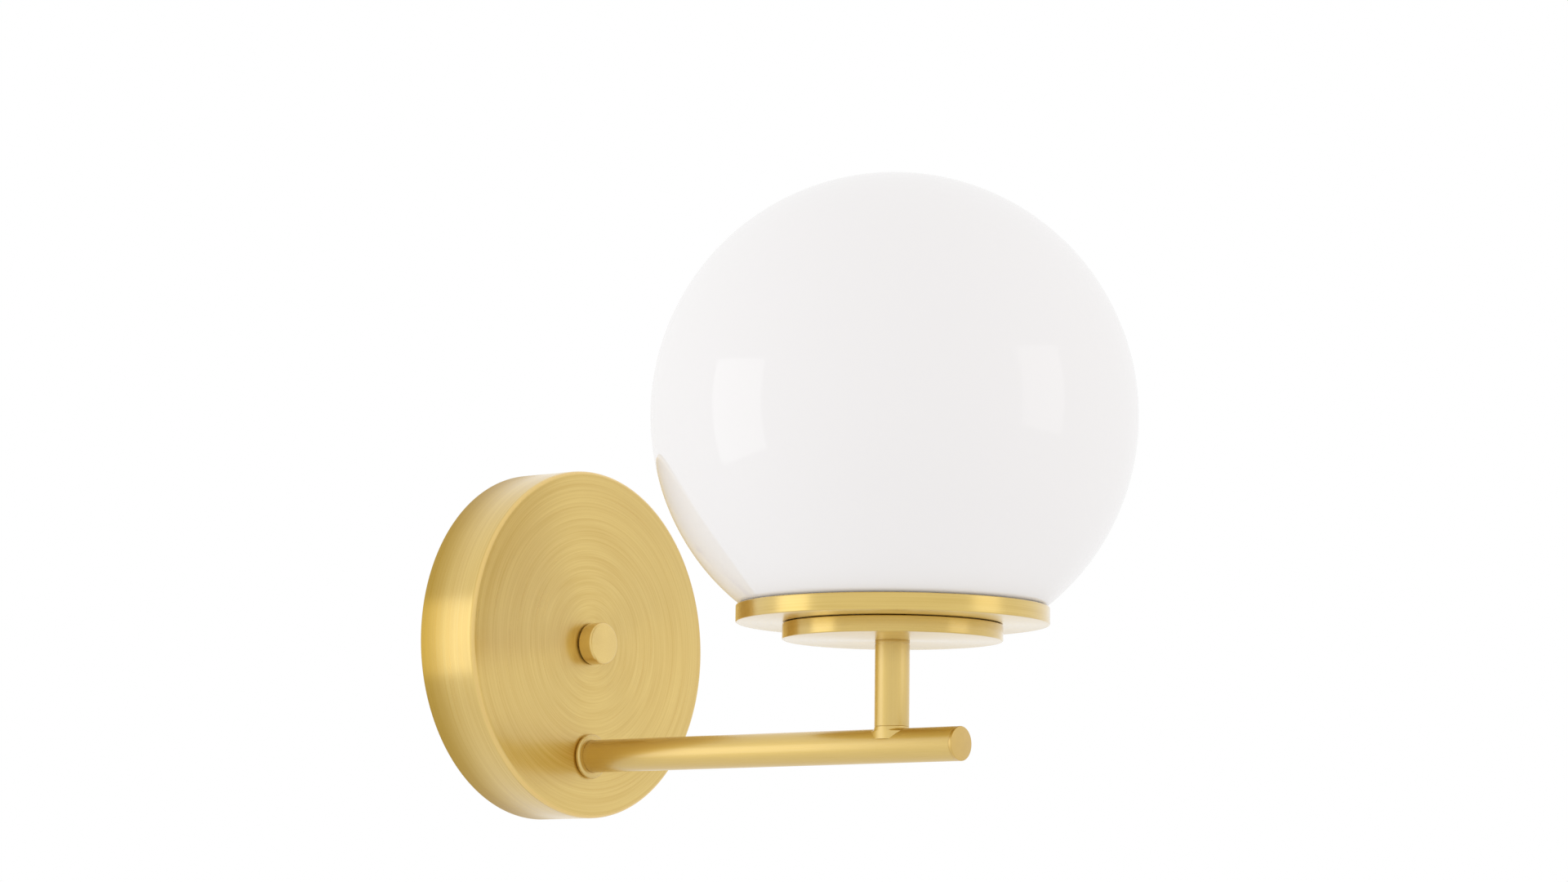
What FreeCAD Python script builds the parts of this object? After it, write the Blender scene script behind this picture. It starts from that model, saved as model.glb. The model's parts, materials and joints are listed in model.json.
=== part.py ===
import FreeCAD, Part
import math
import os

# Globe wall sconce, in millimetres.
# The wall is the plane Y = 0 and the lamp stands out from it towards -Y, with +Z up.
# The origin is the middle of the canopy, on the wall. X = 0 is the plane of symmetry of
# the brasswork: the arm, the stem, the gallery and the globe are all centred on it.
# "out" below means the distance from the wall, which is -Y.

# Canopy: a spun cup with its open side on the wall
CANOPY_DIAMETER = 150.0
CANOPY_DEPTH = 30.0
CANOPY_WALL = 1.2
CANOPY_EDGE_RADIUS = 2.0

# Wall bracket: a flat stamped strap with a tab that carries the terminal block
BRACKET_LENGTH = 112.0
BRACKET_WIDTH = 22.0
BRACKET_THICKNESS = 2.0
BRACKET_CORNER_RADIUS = 6.0
SLOT_SPACING = 86.0
SLOT_LENGTH = 14.0
SLOT_WIDTH = 5.0
TAB_DROP = 26.0
TAB_MARGIN = 1.5

# Stud, stop nut, washer and knob that hold the canopy to the bracket
STUD_DIAMETER = 6.0
STUD_HEAD_DIAMETER = 9.0
STUD_POINT = 0.6
STUD_THREAD_IN_KNOB = 5.0
STOP_NUT_FLATS = 10.0
STOP_NUT_THICKNESS = 5.0
KNOB_DIAMETER = 18.0
KNOB_LENGTH = 6.8
KNOB_FRONT_SKIN = 1.5
KNOB_EDGE_RADIUS = 1.0
KNOB_WASHER_DIAMETER = 14.0
KNOB_WASHER_THICKNESS = 0.6

# Arm, its collar at the canopy and its end cap
ARM_FROM_CANOPY_EDGE = 26.5
ARM_PROJECTION = 228.0
ARM_DIAMETER = 14.0
TUBE_WALL = 1.2
FERRULE_DIAMETER = 19.2
FERRULE_THICKNESS = 2.4
FERRULE_EDGE_RADIUS = 1.1
END_CAP_THICKNESS = 1.5
END_CAP_SPIGOT = 5.0
END_CAP_EDGE_RADIUS = 0.3

# Stem and the brazed saddle under it
STEM_PROJECTION = 193.0
STEM_DIAMETER = 14.2
SADDLE_HEIGHT = 0.8
SADDLE_FLARE = 1.8
SADDLE_SKIRT = 4.4

# Hollow threaded fittings that join the tubes to the canopy and to the gallery
NIPPLE_DIAMETER = 10.0
NIPPLE_BORE = 7.0
NIPPLE_IN_CANOPY = 9.8
NIPPLE_PAST_NECK = 1.5
INSERT_LENGTH = 12.0
LOCK_NUT_FLATS = 14.0
LOCK_NUT_THICKNESS = 3.0
LOCK_WASHER_DIAMETER = 16.0
LOCK_WASHER_THICKNESS = 0.8
LOCK_WASHER_TEETH = 12
LOCK_WASHER_TOOTH_DEPTH = 1.3

# Gallery: a small cup under a wide dish, both open at the top
GALLERY_HEIGHT = 49.5
DISH_DIAMETER = 128.0
DISH_DEPTH = 7.0
GALLERY_STEP = 19.0  # from the side of the dish in to the side of the cup
CUP_DEPTH = 6.8
GALLERY_WALL = 1.2
GALLERY_EDGE_RADIUS = 0.5

# Globe of opal glass and what seats it
GLOBE_DIAMETER = 200.0
GLOBE_WALL = 3.0
GLOBE_EDGE_RADIUS = 0.8
SEAT_RING_THICKNESS = 1.2
SEAT_RING_WIDTH = 9.0
SPRING_COUNT = 3
SPRING_WIDTH = 8.0
SPRING_THICKNESS = 0.5
SPRING_FOOT_SHARE = 0.58  # how far out the springs start, as a share of the mouth's radius
SPRING_HEIGHT = 22.0
SPRING_BULGE_HEIGHT = 9.0
SPRING_LEAN = 4.5
SPRING_RISE_REACH = 4.0
SPRING_FOOT_BEND = 3.0
SPRING_BULGE_BEND = 5.0
RIVET_DIAMETER = 2.8
RIVET_HEAD_DIAMETER = 4.8
RIVET_HEAD_HEIGHT = 1.2
RIVET_TAIL_HEIGHT = 0.8

# Lampholder for a 27 mm screw cap
HOLDER_DIAMETER = 39.0
HOLDER_WALL = 2.2
HOLDER_NECK_DIAMETER = 16.0
HOLDER_NECK_LENGTH = 5.0
HOLDER_SHOULDER_HEIGHT = 5.2
HOLDER_SHOULDER_RADIUS = 1.5
HOLDER_MOUTH_CHAMFER = 1.0
HOLDER_OVERLAP = 1.0
HOLDER_CAP_LENGTH = 22.0
HOLDER_SHELL_LENGTH = 36.0
HOLDER_MOUTH_DIAMETER = 28.8
HOLDER_RING_COUNT = 4
PORCELAIN_LENGTH = 10.0
PORCELAIN_BOSS_DIAMETER = 26.0
PORCELAIN_BOSS_LENGTH = 4.0
SCREW_CONTACT_WALL = 0.4
SCREW_CONTACT_LENGTH = 24.0
TONGUE_WIDTH = 5.0
TONGUE_RISE = 3.0
TONGUE_THICKNESS = 0.4
TONGUE_BEND = 2.0

# Bulb with a 27 mm screw cap, 60 mm across
BULB_CAP_DIAMETER = 26.2
BULB_CAP_LENGTH = 22.0
BULB_CAP_WALL = 0.4
BULB_CONTACT_DIAMETER = 9.0
BULB_CONTACT_HEIGHT = 1.5
BULB_CONTACT_BEVEL = 0.9
BULB_INSULATOR_HEIGHT = 2.4
BULB_CAP_SHOULDER = 2.0
BULB_DIAMETER = 60.0
BULB_COLLAR_LENGTH = 30.0
BULB_DIFFUSER_HEIGHT = 50.0
BULB_WALL = 1.4

# Terminal block and the wires
BLOCK_POLES = 3
BLOCK_PITCH = 8.0
BLOCK_WIDTH = 16.0
BLOCK_HEIGHT = 9.0
BLOCK_TOWER_HEIGHT = 3.0
BLOCK_TOWER_DIAMETER = 6.0
BLOCK_CENTRE_X = -27.0
BLOCK_GAP_TO_STRAP = 5.0
BARREL_DIAMETER = 4.8
BARREL_BORE = 3.0
BARREL_RECESS = 1.0
TERMINAL_SCREW_DIAMETER = 2.8
TERMINAL_SCREW_RECESS = 1.0
FIXING_HEAD_DIAMETER = 4.4
FIXING_HEAD_HEIGHT = 1.4
WIRE_DIAMETER = 2.2
WIRE_SPACING = 2.6
WIRE_FAN_OUT = 6.0
WIRE_TEE_RADIUS = 11.0
WIRE_BEND_RADIUS = 6.6
WIRE_TURN_RADIUS = 8.5
WIRE_SPREAD = 3.0
WIRE_END_IN_BLOCK = 3.0
WIRE_END_IN_PORCELAIN = 2.5
WIRE_STRAIGHT_AT_PORCELAIN = 4.0
EARTH_WIRE_DROP = 4.0
EARTH_SCREW_X = 20.0
EARTH_SCREW_DIAMETER = 4.0
EARTH_HEAD_DIAMETER = 8.0
EARTH_HEAD_HEIGHT = 2.6
EARTH_HEAD_EDGE_RADIUS = 0.9
SCREW_SLOT_WIDTH = 1.0
SCREW_SLOT_DEPTH = 1.2
EARTH_WASHER_DIAMETER = 9.6
EARTH_WASHER_THICKNESS = 0.8
EARTH_WASHER_CORNER_RADIUS = 1.2
TAG_THICKNESS = 0.8
TAG_TONGUE_LENGTH = 6.0
TAG_BARREL_LENGTH = 7.0
TAG_OVERLAP = 1.0
TAG_BARREL_WALL = 0.8

# Clearances
SCREW_CLEARANCE = 0.2     # radial, round a screw or nipple that passes through a hole
THREAD_CLEARANCE = 0.05   # radial, between a screw and the thread that it turns in
SEAT_CLEARANCE = 0.05     # between flat faces of pieces that part from each other
GLASS_CLEARANCE = 0.1     # between the edge of the glass and its seat ring
SPRING_CLEARANCE = 0.5    # between the leaf springs and the mouth of the glass
DISH_CLEARANCE = 0.85     # radial, between the glass and the rim of the dish
SEAT_RING_CLEARANCE = 2.3  # radial, between the seat ring and the side of the dish
SOCKET_CLEARANCE = 0.3    # radial, between the bulb's cap and the screw contact
CONTACT_CLEARANCE = 0.3   # between the bulb's tip and the spring tongue

# Heights and distances that follow from the sizes above
canopy_radius = CANOPY_DIAMETER / 2
canopy_inside = CANOPY_DEPTH - CANOPY_WALL
arm_z = ARM_FROM_CANOPY_EDGE - canopy_radius
stem_y = -STEM_PROJECTION
arm_radius = ARM_DIAMETER / 2
arm_bore_radius = arm_radius - TUBE_WALL
stem_radius = STEM_DIAMETER / 2
stem_bore_radius = stem_radius - TUBE_WALL
nipple_radius = NIPPLE_DIAMETER / 2
dish_z = arm_z + GALLERY_HEIGHT
dish_floor_z = dish_z + GALLERY_WALL
cup_z = dish_z - CUP_DEPTH
dish_rim_z = dish_z + DISH_DEPTH
dish_inner_radius = DISH_DIAMETER / 2 - GALLERY_WALL
globe_radius = GLOBE_DIAMETER / 2
globe_z = dish_rim_z + math.sqrt(globe_radius ** 2 - (dish_inner_radius - DISH_CLEARANCE) ** 2)
glass_edge_z = dish_floor_z + SEAT_RING_THICKNESS + GLASS_CLEARANCE
glass_outer_mouth_radius = math.sqrt(globe_radius ** 2 - (globe_z - glass_edge_z) ** 2)
glass_mouth_radius = math.sqrt((globe_radius - GLOBE_WALL) ** 2 - (globe_z - glass_edge_z) ** 2)
seat_ring_radius = dish_inner_radius - SEAT_RING_CLEARANCE
spring_foot_radius = SPRING_FOOT_SHARE * glass_mouth_radius
holder_z = dish_floor_z + LOCK_WASHER_THICKNESS + LOCK_NUT_THICKNESS
holder_radius = HOLDER_DIAMETER / 2
porcelain_z = holder_z + HOLDER_CAP_LENGTH - HOLDER_OVERLAP
porcelain_radius = holder_radius - HOLDER_WALL - SCREW_CLEARANCE
boss_z = porcelain_z + PORCELAIN_LENGTH
bulb_cap_radius = BULB_CAP_DIAMETER / 2
screw_contact_radius = bulb_cap_radius + SOCKET_CLEARANCE
bulb_z = boss_z + TONGUE_RISE + CONTACT_CLEARANCE
bulb_cap_z = bulb_z + BULB_CONTACT_HEIGHT + BULB_INSULATOR_HEIGHT
bulb_collar_z = bulb_cap_z + BULB_CAP_LENGTH
bulb_diffuser_z = bulb_collar_z + BULB_COLLAR_LENGTH
knob_back = CANOPY_DEPTH + KNOB_WASHER_THICKNESS + 2 * SEAT_CLEARANCE
block_top_z = -BRACKET_WIDTH / 2 - BLOCK_GAP_TO_STRAP
block_bottom_z = block_top_z - BLOCK_WIDTH
block_middle_z = block_top_z - BLOCK_WIDTH / 2
barrel_y = -BRACKET_THICKNESS - BLOCK_HEIGHT / 2
tag_face = canopy_inside - TAG_THICKNESS
tag_barrel_radius = WIRE_DIAMETER / 2 + TAG_BARREL_WALL

UP = FreeCAD.Vector(0, 0, 1)
OUT = FreeCAD.Vector(0, -1, 0)
ACROSS = FreeCAD.Vector(1, 0, 0)


def at(x, y, z):
    """A point in space."""
    return FreeCAD.Vector(x, y, z)


def turned_up(outline, y=stem_y):
    """Turns an outline of (radius, z) corners about the vertical line through (0, y)."""
    corners = [at(r, y, z) for r, z in outline]
    face = Part.Face(Part.makePolygon(corners + corners[:1]))
    return face.revolve(at(0, y, 0), UP, 360)


def turned_out(outline, z=0.0):
    """Turns an outline of (radius, out) corners about the line through z square to the wall."""
    corners = [at(0, -out, z + r) for r, out in outline]
    face = Part.Face(Part.makePolygon(corners + corners[:1]))
    return face.revolve(at(0, 0, z), OUT, 360)


def ring_up(outer, inner, z, height, y=stem_y):
    """A plain ring about a vertical line."""
    return turned_up([(inner, z), (outer, z), (outer, z + height), (inner, z + height)], y)


def ring_out(outer, inner, out, length, z=0.0):
    """A plain ring about a line square to the wall."""
    return turned_out([(inner, out), (outer, out), (outer, out + length), (inner, out + length)], z)


def rod(radius, base, direction, length):
    """A plain round rod."""
    return Part.makeCylinder(radius, length, base, direction)


def round_circles(shape, radius, *circles):
    """Rounds the circular edges that have one of the given (edge radius, centre) pairs."""
    chosen = []
    for edge in shape.Edges:
        if edge.Degenerated or not isinstance(edge.Curve, Part.Circle):
            continue
        for edge_radius, centre in circles:
            same_size = abs(edge.Curve.Radius - edge_radius) < 1e-4
            if same_size and edge.Curve.Center.distanceToPoint(centre) < 1e-4:
                chosen.append(edge)
                break
    return shape.makeFillet(radius, chosen)


def hexagon_nut(flats, bore_radius, base, direction, thickness):
    """A hexagon nut with its corners turned off at both faces."""
    corner = flats / math.sqrt(3)
    corners = []
    for step in range(6):
        angle = math.radians(60 * step)
        corners.append(at(corner * math.cos(angle), corner * math.sin(angle), 0))
    prism = Part.Face(Part.makePolygon(corners + corners[:1])).extrude(at(0, 0, thickness))
    bevel = corner - flats / 2
    sides = [(0, 0), (flats / 2, 0), (corner, bevel), (corner, thickness - bevel)]
    sides += [(flats / 2, thickness), (0, thickness)]
    nut = prism.common(turned_up(sides, 0)).cut(rod(bore_radius, at(0, 0, 0), UP, thickness))
    nut.Placement = FreeCAD.Placement(base, FreeCAD.Rotation(UP, direction))
    return nut


def toothed_washer(bore_radius, base, direction):
    """A flat lock washer with teeth round its outside."""
    radius = LOCK_WASHER_DIAMETER / 2
    washer = rod(radius, at(0, 0, 0), UP, LOCK_WASHER_THICKNESS)
    washer = washer.cut(rod(bore_radius, at(0, 0, 0), UP, LOCK_WASHER_THICKNESS))
    notch_width = math.pi * radius / LOCK_WASHER_TEETH
    start = at(radius - LOCK_WASHER_TOOTH_DEPTH, -notch_width / 2, 0)
    notch = Part.makeBox(radius, notch_width, LOCK_WASHER_THICKNESS, start)
    for tooth in range(LOCK_WASHER_TEETH):
        cutter = notch.copy()
        cutter.rotate(at(0, 0, 0), UP, 360 * tooth / LOCK_WASHER_TEETH)
        washer = washer.cut(cutter)
    washer.Placement = FreeCAD.Placement(base, FreeCAD.Rotation(UP, direction))
    return washer


def slot_cutter(x, z):
    """The straight slot of a wall screw, with round ends, running along X."""
    straight = SLOT_LENGTH - SLOT_WIDTH
    depth = BRACKET_THICKNESS
    box = Part.makeBox(straight, depth, SLOT_WIDTH, at(x - straight / 2, -depth, z - SLOT_WIDTH / 2))
    left = rod(SLOT_WIDTH / 2, at(x - straight / 2, 0, z), OUT, depth)
    right = rod(SLOT_WIDTH / 2, at(x + straight / 2, 0, z), OUT, depth)
    return box.fuse([left, right])


def round_path(points, radii):
    """A wire of straight runs through the points, with an arc of the given radius at each corner."""
    edges = []
    start = points[0]
    for before, corner, after, radius in zip(points, points[1:], points[2:], radii):
        inward = (before - corner).normalize()
        onward = (after - corner).normalize()
        half_angle = inward.getAngle(onward) / 2
        tangent = radius / math.tan(half_angle)
        first = corner + inward * tangent
        last = corner + onward * tangent
        bisector = (inward + onward).normalize()
        middle = corner + bisector * (radius / math.sin(half_angle) - radius)
        edges.append(Part.LineSegment(start, first).toShape())
        edges.append(Part.Arc(first, middle, last).toShape())
        start = last
    edges.append(Part.LineSegment(start, points[-1]).toShape())
    return Part.Wire(edges)


def round_wire(points, radii):
    """An insulated wire along the points."""
    path = round_path(points, radii)
    circle = Part.Circle(points[0], points[1] - points[0], WIRE_DIAMETER / 2)
    section = Part.Wire([circle.toShape()])
    return path.makePipeShell([section], True, True)


# Wall side

def wall_bracket():
    """The strap, with a slot at each end, the stud's hole, and the tab under its left half."""
    strap = Part.makeBox(BRACKET_LENGTH, BRACKET_THICKNESS, BRACKET_WIDTH,
                         at(-BRACKET_LENGTH / 2, -BRACKET_THICKNESS, -BRACKET_WIDTH / 2))
    tab_width = BLOCK_POLES * BLOCK_PITCH + 2 * TAB_MARGIN
    tab_corner = at(BLOCK_CENTRE_X - tab_width / 2, -BRACKET_THICKNESS, -BRACKET_WIDTH / 2 - TAB_DROP)
    tab = Part.makeBox(tab_width, BRACKET_THICKNESS, TAB_DROP, tab_corner)
    plate = strap.fuse(tab).removeSplitter()
    corners = []
    for edge in plate.Edges:
        middle = edge.CenterOfMass
        runs_out = abs(edge.tangentAt(edge.FirstParameter).y) > 0.99
        at_strap_end = abs(abs(middle.x) - BRACKET_LENGTH / 2) < 1e-3
        if runs_out and at_strap_end:
            corners.append(edge)
    plate = plate.makeFillet(BRACKET_CORNER_RADIUS, corners)
    for side in (-1, 1):
        plate = plate.cut(slot_cutter(side * SLOT_SPACING / 2, 0))
    plate = plate.cut(rod(STUD_HEAD_DIAMETER / 2, at(0, 0, 0), OUT, BRACKET_THICKNESS))
    plate = plate.cut(rod(EARTH_SCREW_DIAMETER / 2, at(EARTH_SCREW_X, 0, 0), OUT, BRACKET_THICKNESS))
    for x in block_fixing_places():
        plate = plate.cut(rod(TERMINAL_SCREW_DIAMETER / 2, at(x, 0, block_middle_z), OUT, BRACKET_THICKNESS))
    return plate


def bracket_stud():
    """The stud, with a flat head pressed into the strap, flush with its back."""
    end = knob_back + STUD_THREAD_IN_KNOB
    radius = STUD_DIAMETER / 2
    outline = [(0, 0), (STUD_HEAD_DIAMETER / 2, 0), (STUD_HEAD_DIAMETER / 2, BRACKET_THICKNESS)]
    outline += [(radius, BRACKET_THICKNESS), (radius, end - STUD_POINT), (radius - STUD_POINT, end)]
    outline += [(0, end)]
    return turned_out(outline)


def canopy_stop_nut():
    """The nut on the stud that backs the canopy's face."""
    base = at(0, -(canopy_inside - STOP_NUT_THICKNESS), 0)
    return hexagon_nut(STOP_NUT_FLATS, STUD_DIAMETER / 2, base, OUT, STOP_NUT_THICKNESS)


def canopy():
    """The cup, with a hole for the stud and one for the arm's nipple."""
    inner = canopy_radius - CANOPY_WALL
    outline = [(0, canopy_inside), (inner, canopy_inside), (inner, 0), (canopy_radius, 0)]
    outline += [(canopy_radius, CANOPY_DEPTH), (0, CANOPY_DEPTH)]
    cup = turned_out(outline)
    cup = round_circles(cup, CANOPY_EDGE_RADIUS, (canopy_radius, at(0, -CANOPY_DEPTH, 0)))
    inner_edge = CANOPY_EDGE_RADIUS - CANOPY_WALL
    if inner_edge > 0:
        cup = round_circles(cup, inner_edge, (inner, at(0, -canopy_inside, 0)))
    stud_hole = rod(STUD_DIAMETER / 2 + SCREW_CLEARANCE, at(0, 0, 0), OUT, CANOPY_DEPTH)
    arm_hole = rod(nipple_radius + SCREW_CLEARANCE, at(0, 0, arm_z), OUT, CANOPY_DEPTH)
    return cup.cut([stud_hole, arm_hole])


def knob_washer():
    """The thin washer between the knob and the canopy."""
    bore = STUD_DIAMETER / 2 + THREAD_CLEARANCE
    out = CANOPY_DEPTH + SEAT_CLEARANCE
    return ring_out(KNOB_WASHER_DIAMETER / 2, bore, out, KNOB_WASHER_THICKNESS)


def canopy_knob():
    """The round knob with a blind thread."""
    radius = KNOB_DIAMETER / 2
    front = knob_back + KNOB_LENGTH
    bore = STUD_DIAMETER / 2 + THREAD_CLEARANCE
    bore_end = front - KNOB_FRONT_SKIN
    outline = [(bore, knob_back), (radius, knob_back), (radius, front), (0, front)]
    outline += [(0, bore_end + bore * 0.5), (bore, bore_end)]
    knob = turned_out(outline)
    return round_circles(knob, KNOB_EDGE_RADIUS, (radius, at(0, -front, 0)))


def earth_screw():
    """The earth screw in the strap, with a round slotted head over a cup washer."""
    head_out = BRACKET_THICKNESS + EARTH_WASHER_THICKNESS
    shank = rod(EARTH_SCREW_DIAMETER / 2, at(EARTH_SCREW_X, 0, 0), OUT, head_out)
    head = rod(EARTH_HEAD_DIAMETER / 2, at(EARTH_SCREW_X, -head_out, 0), OUT, EARTH_HEAD_HEIGHT)
    front = at(EARTH_SCREW_X, -head_out - EARTH_HEAD_HEIGHT, 0)
    head = round_circles(head, EARTH_HEAD_EDGE_RADIUS, (EARTH_HEAD_DIAMETER / 2, front))
    slot_corner = front + at(-EARTH_HEAD_DIAMETER / 2, 0, -SCREW_SLOT_WIDTH / 2)
    slot = Part.makeBox(EARTH_HEAD_DIAMETER, SCREW_SLOT_DEPTH, SCREW_SLOT_WIDTH, slot_corner)
    return shank.fuse(head).cut(slot)


def earth_cup_washer():
    """The square-cornered cup washer that traps the earth conductor under the screw."""
    side = EARTH_WASHER_DIAMETER
    thickness = EARTH_WASHER_THICKNESS
    corner = at(EARTH_SCREW_X - side / 2, -BRACKET_THICKNESS - thickness, -side / 2)
    plate = Part.makeBox(side, thickness, side, corner)
    upright = [edge for edge in plate.Edges if abs(edge.tangentAt(edge.FirstParameter).y) > 0.99]
    plate = plate.makeFillet(EARTH_WASHER_CORNER_RADIUS, upright)
    return plate.cut(rod(EARTH_SCREW_DIAMETER / 2, at(EARTH_SCREW_X, 0, 0), OUT, CANOPY_DEPTH))


# Terminal block

def pole_places():
    """The X of each pole of the terminal block, earth first and live last."""
    first = BLOCK_CENTRE_X - BLOCK_PITCH * (BLOCK_POLES - 1) / 2
    return [first + BLOCK_PITCH * pole for pole in range(BLOCK_POLES)]


def block_fixing_places():
    """The X of each fixing screw, midway between two poles."""
    poles = pole_places()
    return [(left + right) / 2 for left, right in zip(poles, poles[1:])]


def terminal_screw_places():
    """The (x, z) of each clamping screw: two to a pole."""
    inset = BLOCK_WIDTH / 4
    return [(x, z) for x in pole_places() for z in (block_top_z - inset, block_bottom_z + inset)]


def terminal_block():
    """The moulded strip: a low body with a tower over each screw."""
    length = BLOCK_POLES * BLOCK_PITCH
    base_y = -BRACKET_THICKNESS - BLOCK_HEIGHT
    corner = at(BLOCK_CENTRE_X - length / 2, base_y, block_bottom_z)
    body = Part.makeBox(length, BLOCK_HEIGHT, BLOCK_WIDTH, corner)
    towers = []
    for x, z in terminal_screw_places():
        towers.append(rod(BLOCK_TOWER_DIAMETER / 2, at(x, base_y, z), OUT, BLOCK_TOWER_HEIGHT))
    body = body.fuse(towers)
    cutters = []
    screw_hole_radius = TERMINAL_SCREW_DIAMETER / 2 + SCREW_CLEARANCE
    for x, z in terminal_screw_places():
        cutters.append(rod(screw_hole_radius, at(x, barrel_y, z), OUT, BLOCK_HEIGHT + BLOCK_TOWER_HEIGHT))
    for x in pole_places():
        cutters.append(rod(BARREL_DIAMETER / 2, at(x, barrel_y, block_bottom_z), UP, BLOCK_WIDTH))
    depth = BLOCK_HEIGHT + BRACKET_THICKNESS
    for x in block_fixing_places():
        cutters.append(rod(TERMINAL_SCREW_DIAMETER / 2, at(x, 0, block_middle_z), OUT, depth))
    return body.cut(cutters)


def terminal_barrels():
    """The brass barrel of each pole."""
    length = BLOCK_WIDTH - 2 * BARREL_RECESS
    screw_holes = []
    for x, z in terminal_screw_places():
        screw_holes.append(rod(TERMINAL_SCREW_DIAMETER / 2, at(x, barrel_y, z), OUT, BARREL_DIAMETER))
    barrels = []
    for x in pole_places():
        base = at(x, barrel_y, block_bottom_z + BARREL_RECESS)
        barrel = rod(BARREL_DIAMETER / 2, base, UP, length)
        barrels.append(barrel.cut([rod(BARREL_BORE / 2, base, UP, length)] + screw_holes))
    return Part.makeCompound(barrels)


def terminal_screws():
    """The clamping screws, run down to the wires."""
    start = -barrel_y + WIRE_DIAMETER / 2
    end = BRACKET_THICKNESS + BLOCK_HEIGHT + BLOCK_TOWER_HEIGHT - TERMINAL_SCREW_RECESS
    screws = []
    for x, z in terminal_screw_places():
        screws.append(rod(TERMINAL_SCREW_DIAMETER / 2, at(x, -start, z), OUT, end - start))
    return Part.makeCompound(screws)


def block_fixing_screws():
    """The screws that hold the block to the tab."""
    head_out = BRACKET_THICKNESS + BLOCK_HEIGHT
    screws = []
    for x in block_fixing_places():
        shank = rod(TERMINAL_SCREW_DIAMETER / 2, at(x, 0, block_middle_z), OUT, head_out)
        head = rod(FIXING_HEAD_DIAMETER / 2, at(x, -head_out, block_middle_z), OUT, FIXING_HEAD_HEIGHT)
        screws.append(shank.fuse(head))
    return Part.makeCompound(screws)


# Arm

def arm_ferrule():
    """The round-edged collar where the arm meets the canopy."""
    radius = FERRULE_DIAMETER / 2
    bore = arm_radius + THREAD_CLEARANCE
    collar = ring_out(radius, bore, CANOPY_DEPTH, FERRULE_THICKNESS, arm_z)
    back = at(0, -CANOPY_DEPTH, arm_z)
    front = at(0, -CANOPY_DEPTH - FERRULE_THICKNESS, arm_z)
    return round_circles(collar, FERRULE_EDGE_RADIUS, (radius, back), (radius, front))


def arm_tube():
    """The arm, with a hole in its top wall where the wires turn up into the stem."""
    length = ARM_PROJECTION - END_CAP_THICKNESS - CANOPY_DEPTH
    tube = ring_out(arm_radius, arm_bore_radius, CANOPY_DEPTH, length, arm_z)
    return tube.cut(rod(stem_bore_radius, at(0, stem_y, arm_z), UP, ARM_DIAMETER))


def arm_end_cap():
    """The plug that closes the arm, with its flat disc outside."""
    disc_out = ARM_PROJECTION - END_CAP_THICKNESS
    spigot = arm_bore_radius - THREAD_CLEARANCE
    outline = [(0, disc_out - END_CAP_SPIGOT), (spigot, disc_out - END_CAP_SPIGOT), (spigot, disc_out)]
    outline += [(arm_radius, disc_out), (arm_radius, ARM_PROJECTION), (0, ARM_PROJECTION)]
    cap = turned_out(outline, arm_z)
    return round_circles(cap, END_CAP_EDGE_RADIUS, (arm_radius, at(0, -ARM_PROJECTION, arm_z)))


def arm_insert():
    """The threaded bush brazed into the root of the arm."""
    return ring_out(arm_bore_radius, nipple_radius + THREAD_CLEARANCE, CANOPY_DEPTH, INSERT_LENGTH, arm_z)


def arm_nipple():
    """The hollow threaded nipple that holds the arm to the canopy."""
    start = canopy_inside - NIPPLE_IN_CANOPY
    length = CANOPY_DEPTH + INSERT_LENGTH - start
    return ring_out(nipple_radius, NIPPLE_BORE / 2, start, length, arm_z)


def earth_tag():
    """The ring tag of the earth wire, under the arm's lock washer."""
    bore = nipple_radius + SCREW_CLEARANCE
    ring = ring_out(LOCK_WASHER_DIAMETER / 2, bore, tag_face, TAG_THICKNESS, arm_z)
    width = tag_barrel_radius * 2
    tongue_end = -LOCK_WASHER_DIAMETER / 2 - TAG_TONGUE_LENGTH
    corner = at(tongue_end, -canopy_inside, arm_z - width / 2)
    tongue = Part.makeBox(TAG_TONGUE_LENGTH + TAG_OVERLAP, TAG_THICKNESS, width, corner)
    end = at(tongue_end + TAG_OVERLAP, -canopy_inside + tag_barrel_radius, arm_z)
    barrel = rod(tag_barrel_radius, end, ACROSS * -1, TAG_BARREL_LENGTH)
    tag = ring.fuse([tongue, barrel]).removeSplitter()
    return tag.cut(rod(WIRE_DIAMETER / 2, end - ACROSS * TAG_OVERLAP, ACROSS * -1, TAG_BARREL_LENGTH))


def arm_lock_washer():
    """The toothed washer under the arm's nut."""
    base = at(0, -(tag_face - LOCK_WASHER_THICKNESS), arm_z)
    return toothed_washer(nipple_radius + SCREW_CLEARANCE, base, OUT)


def arm_lock_nut():
    """The nut that draws the arm against the canopy."""
    base = at(0, -(tag_face - LOCK_WASHER_THICKNESS - LOCK_NUT_THICKNESS), arm_z)
    return hexagon_nut(LOCK_NUT_FLATS, nipple_radius + THREAD_CLEARANCE, base, OUT, LOCK_NUT_THICKNESS)


# Stem

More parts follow.
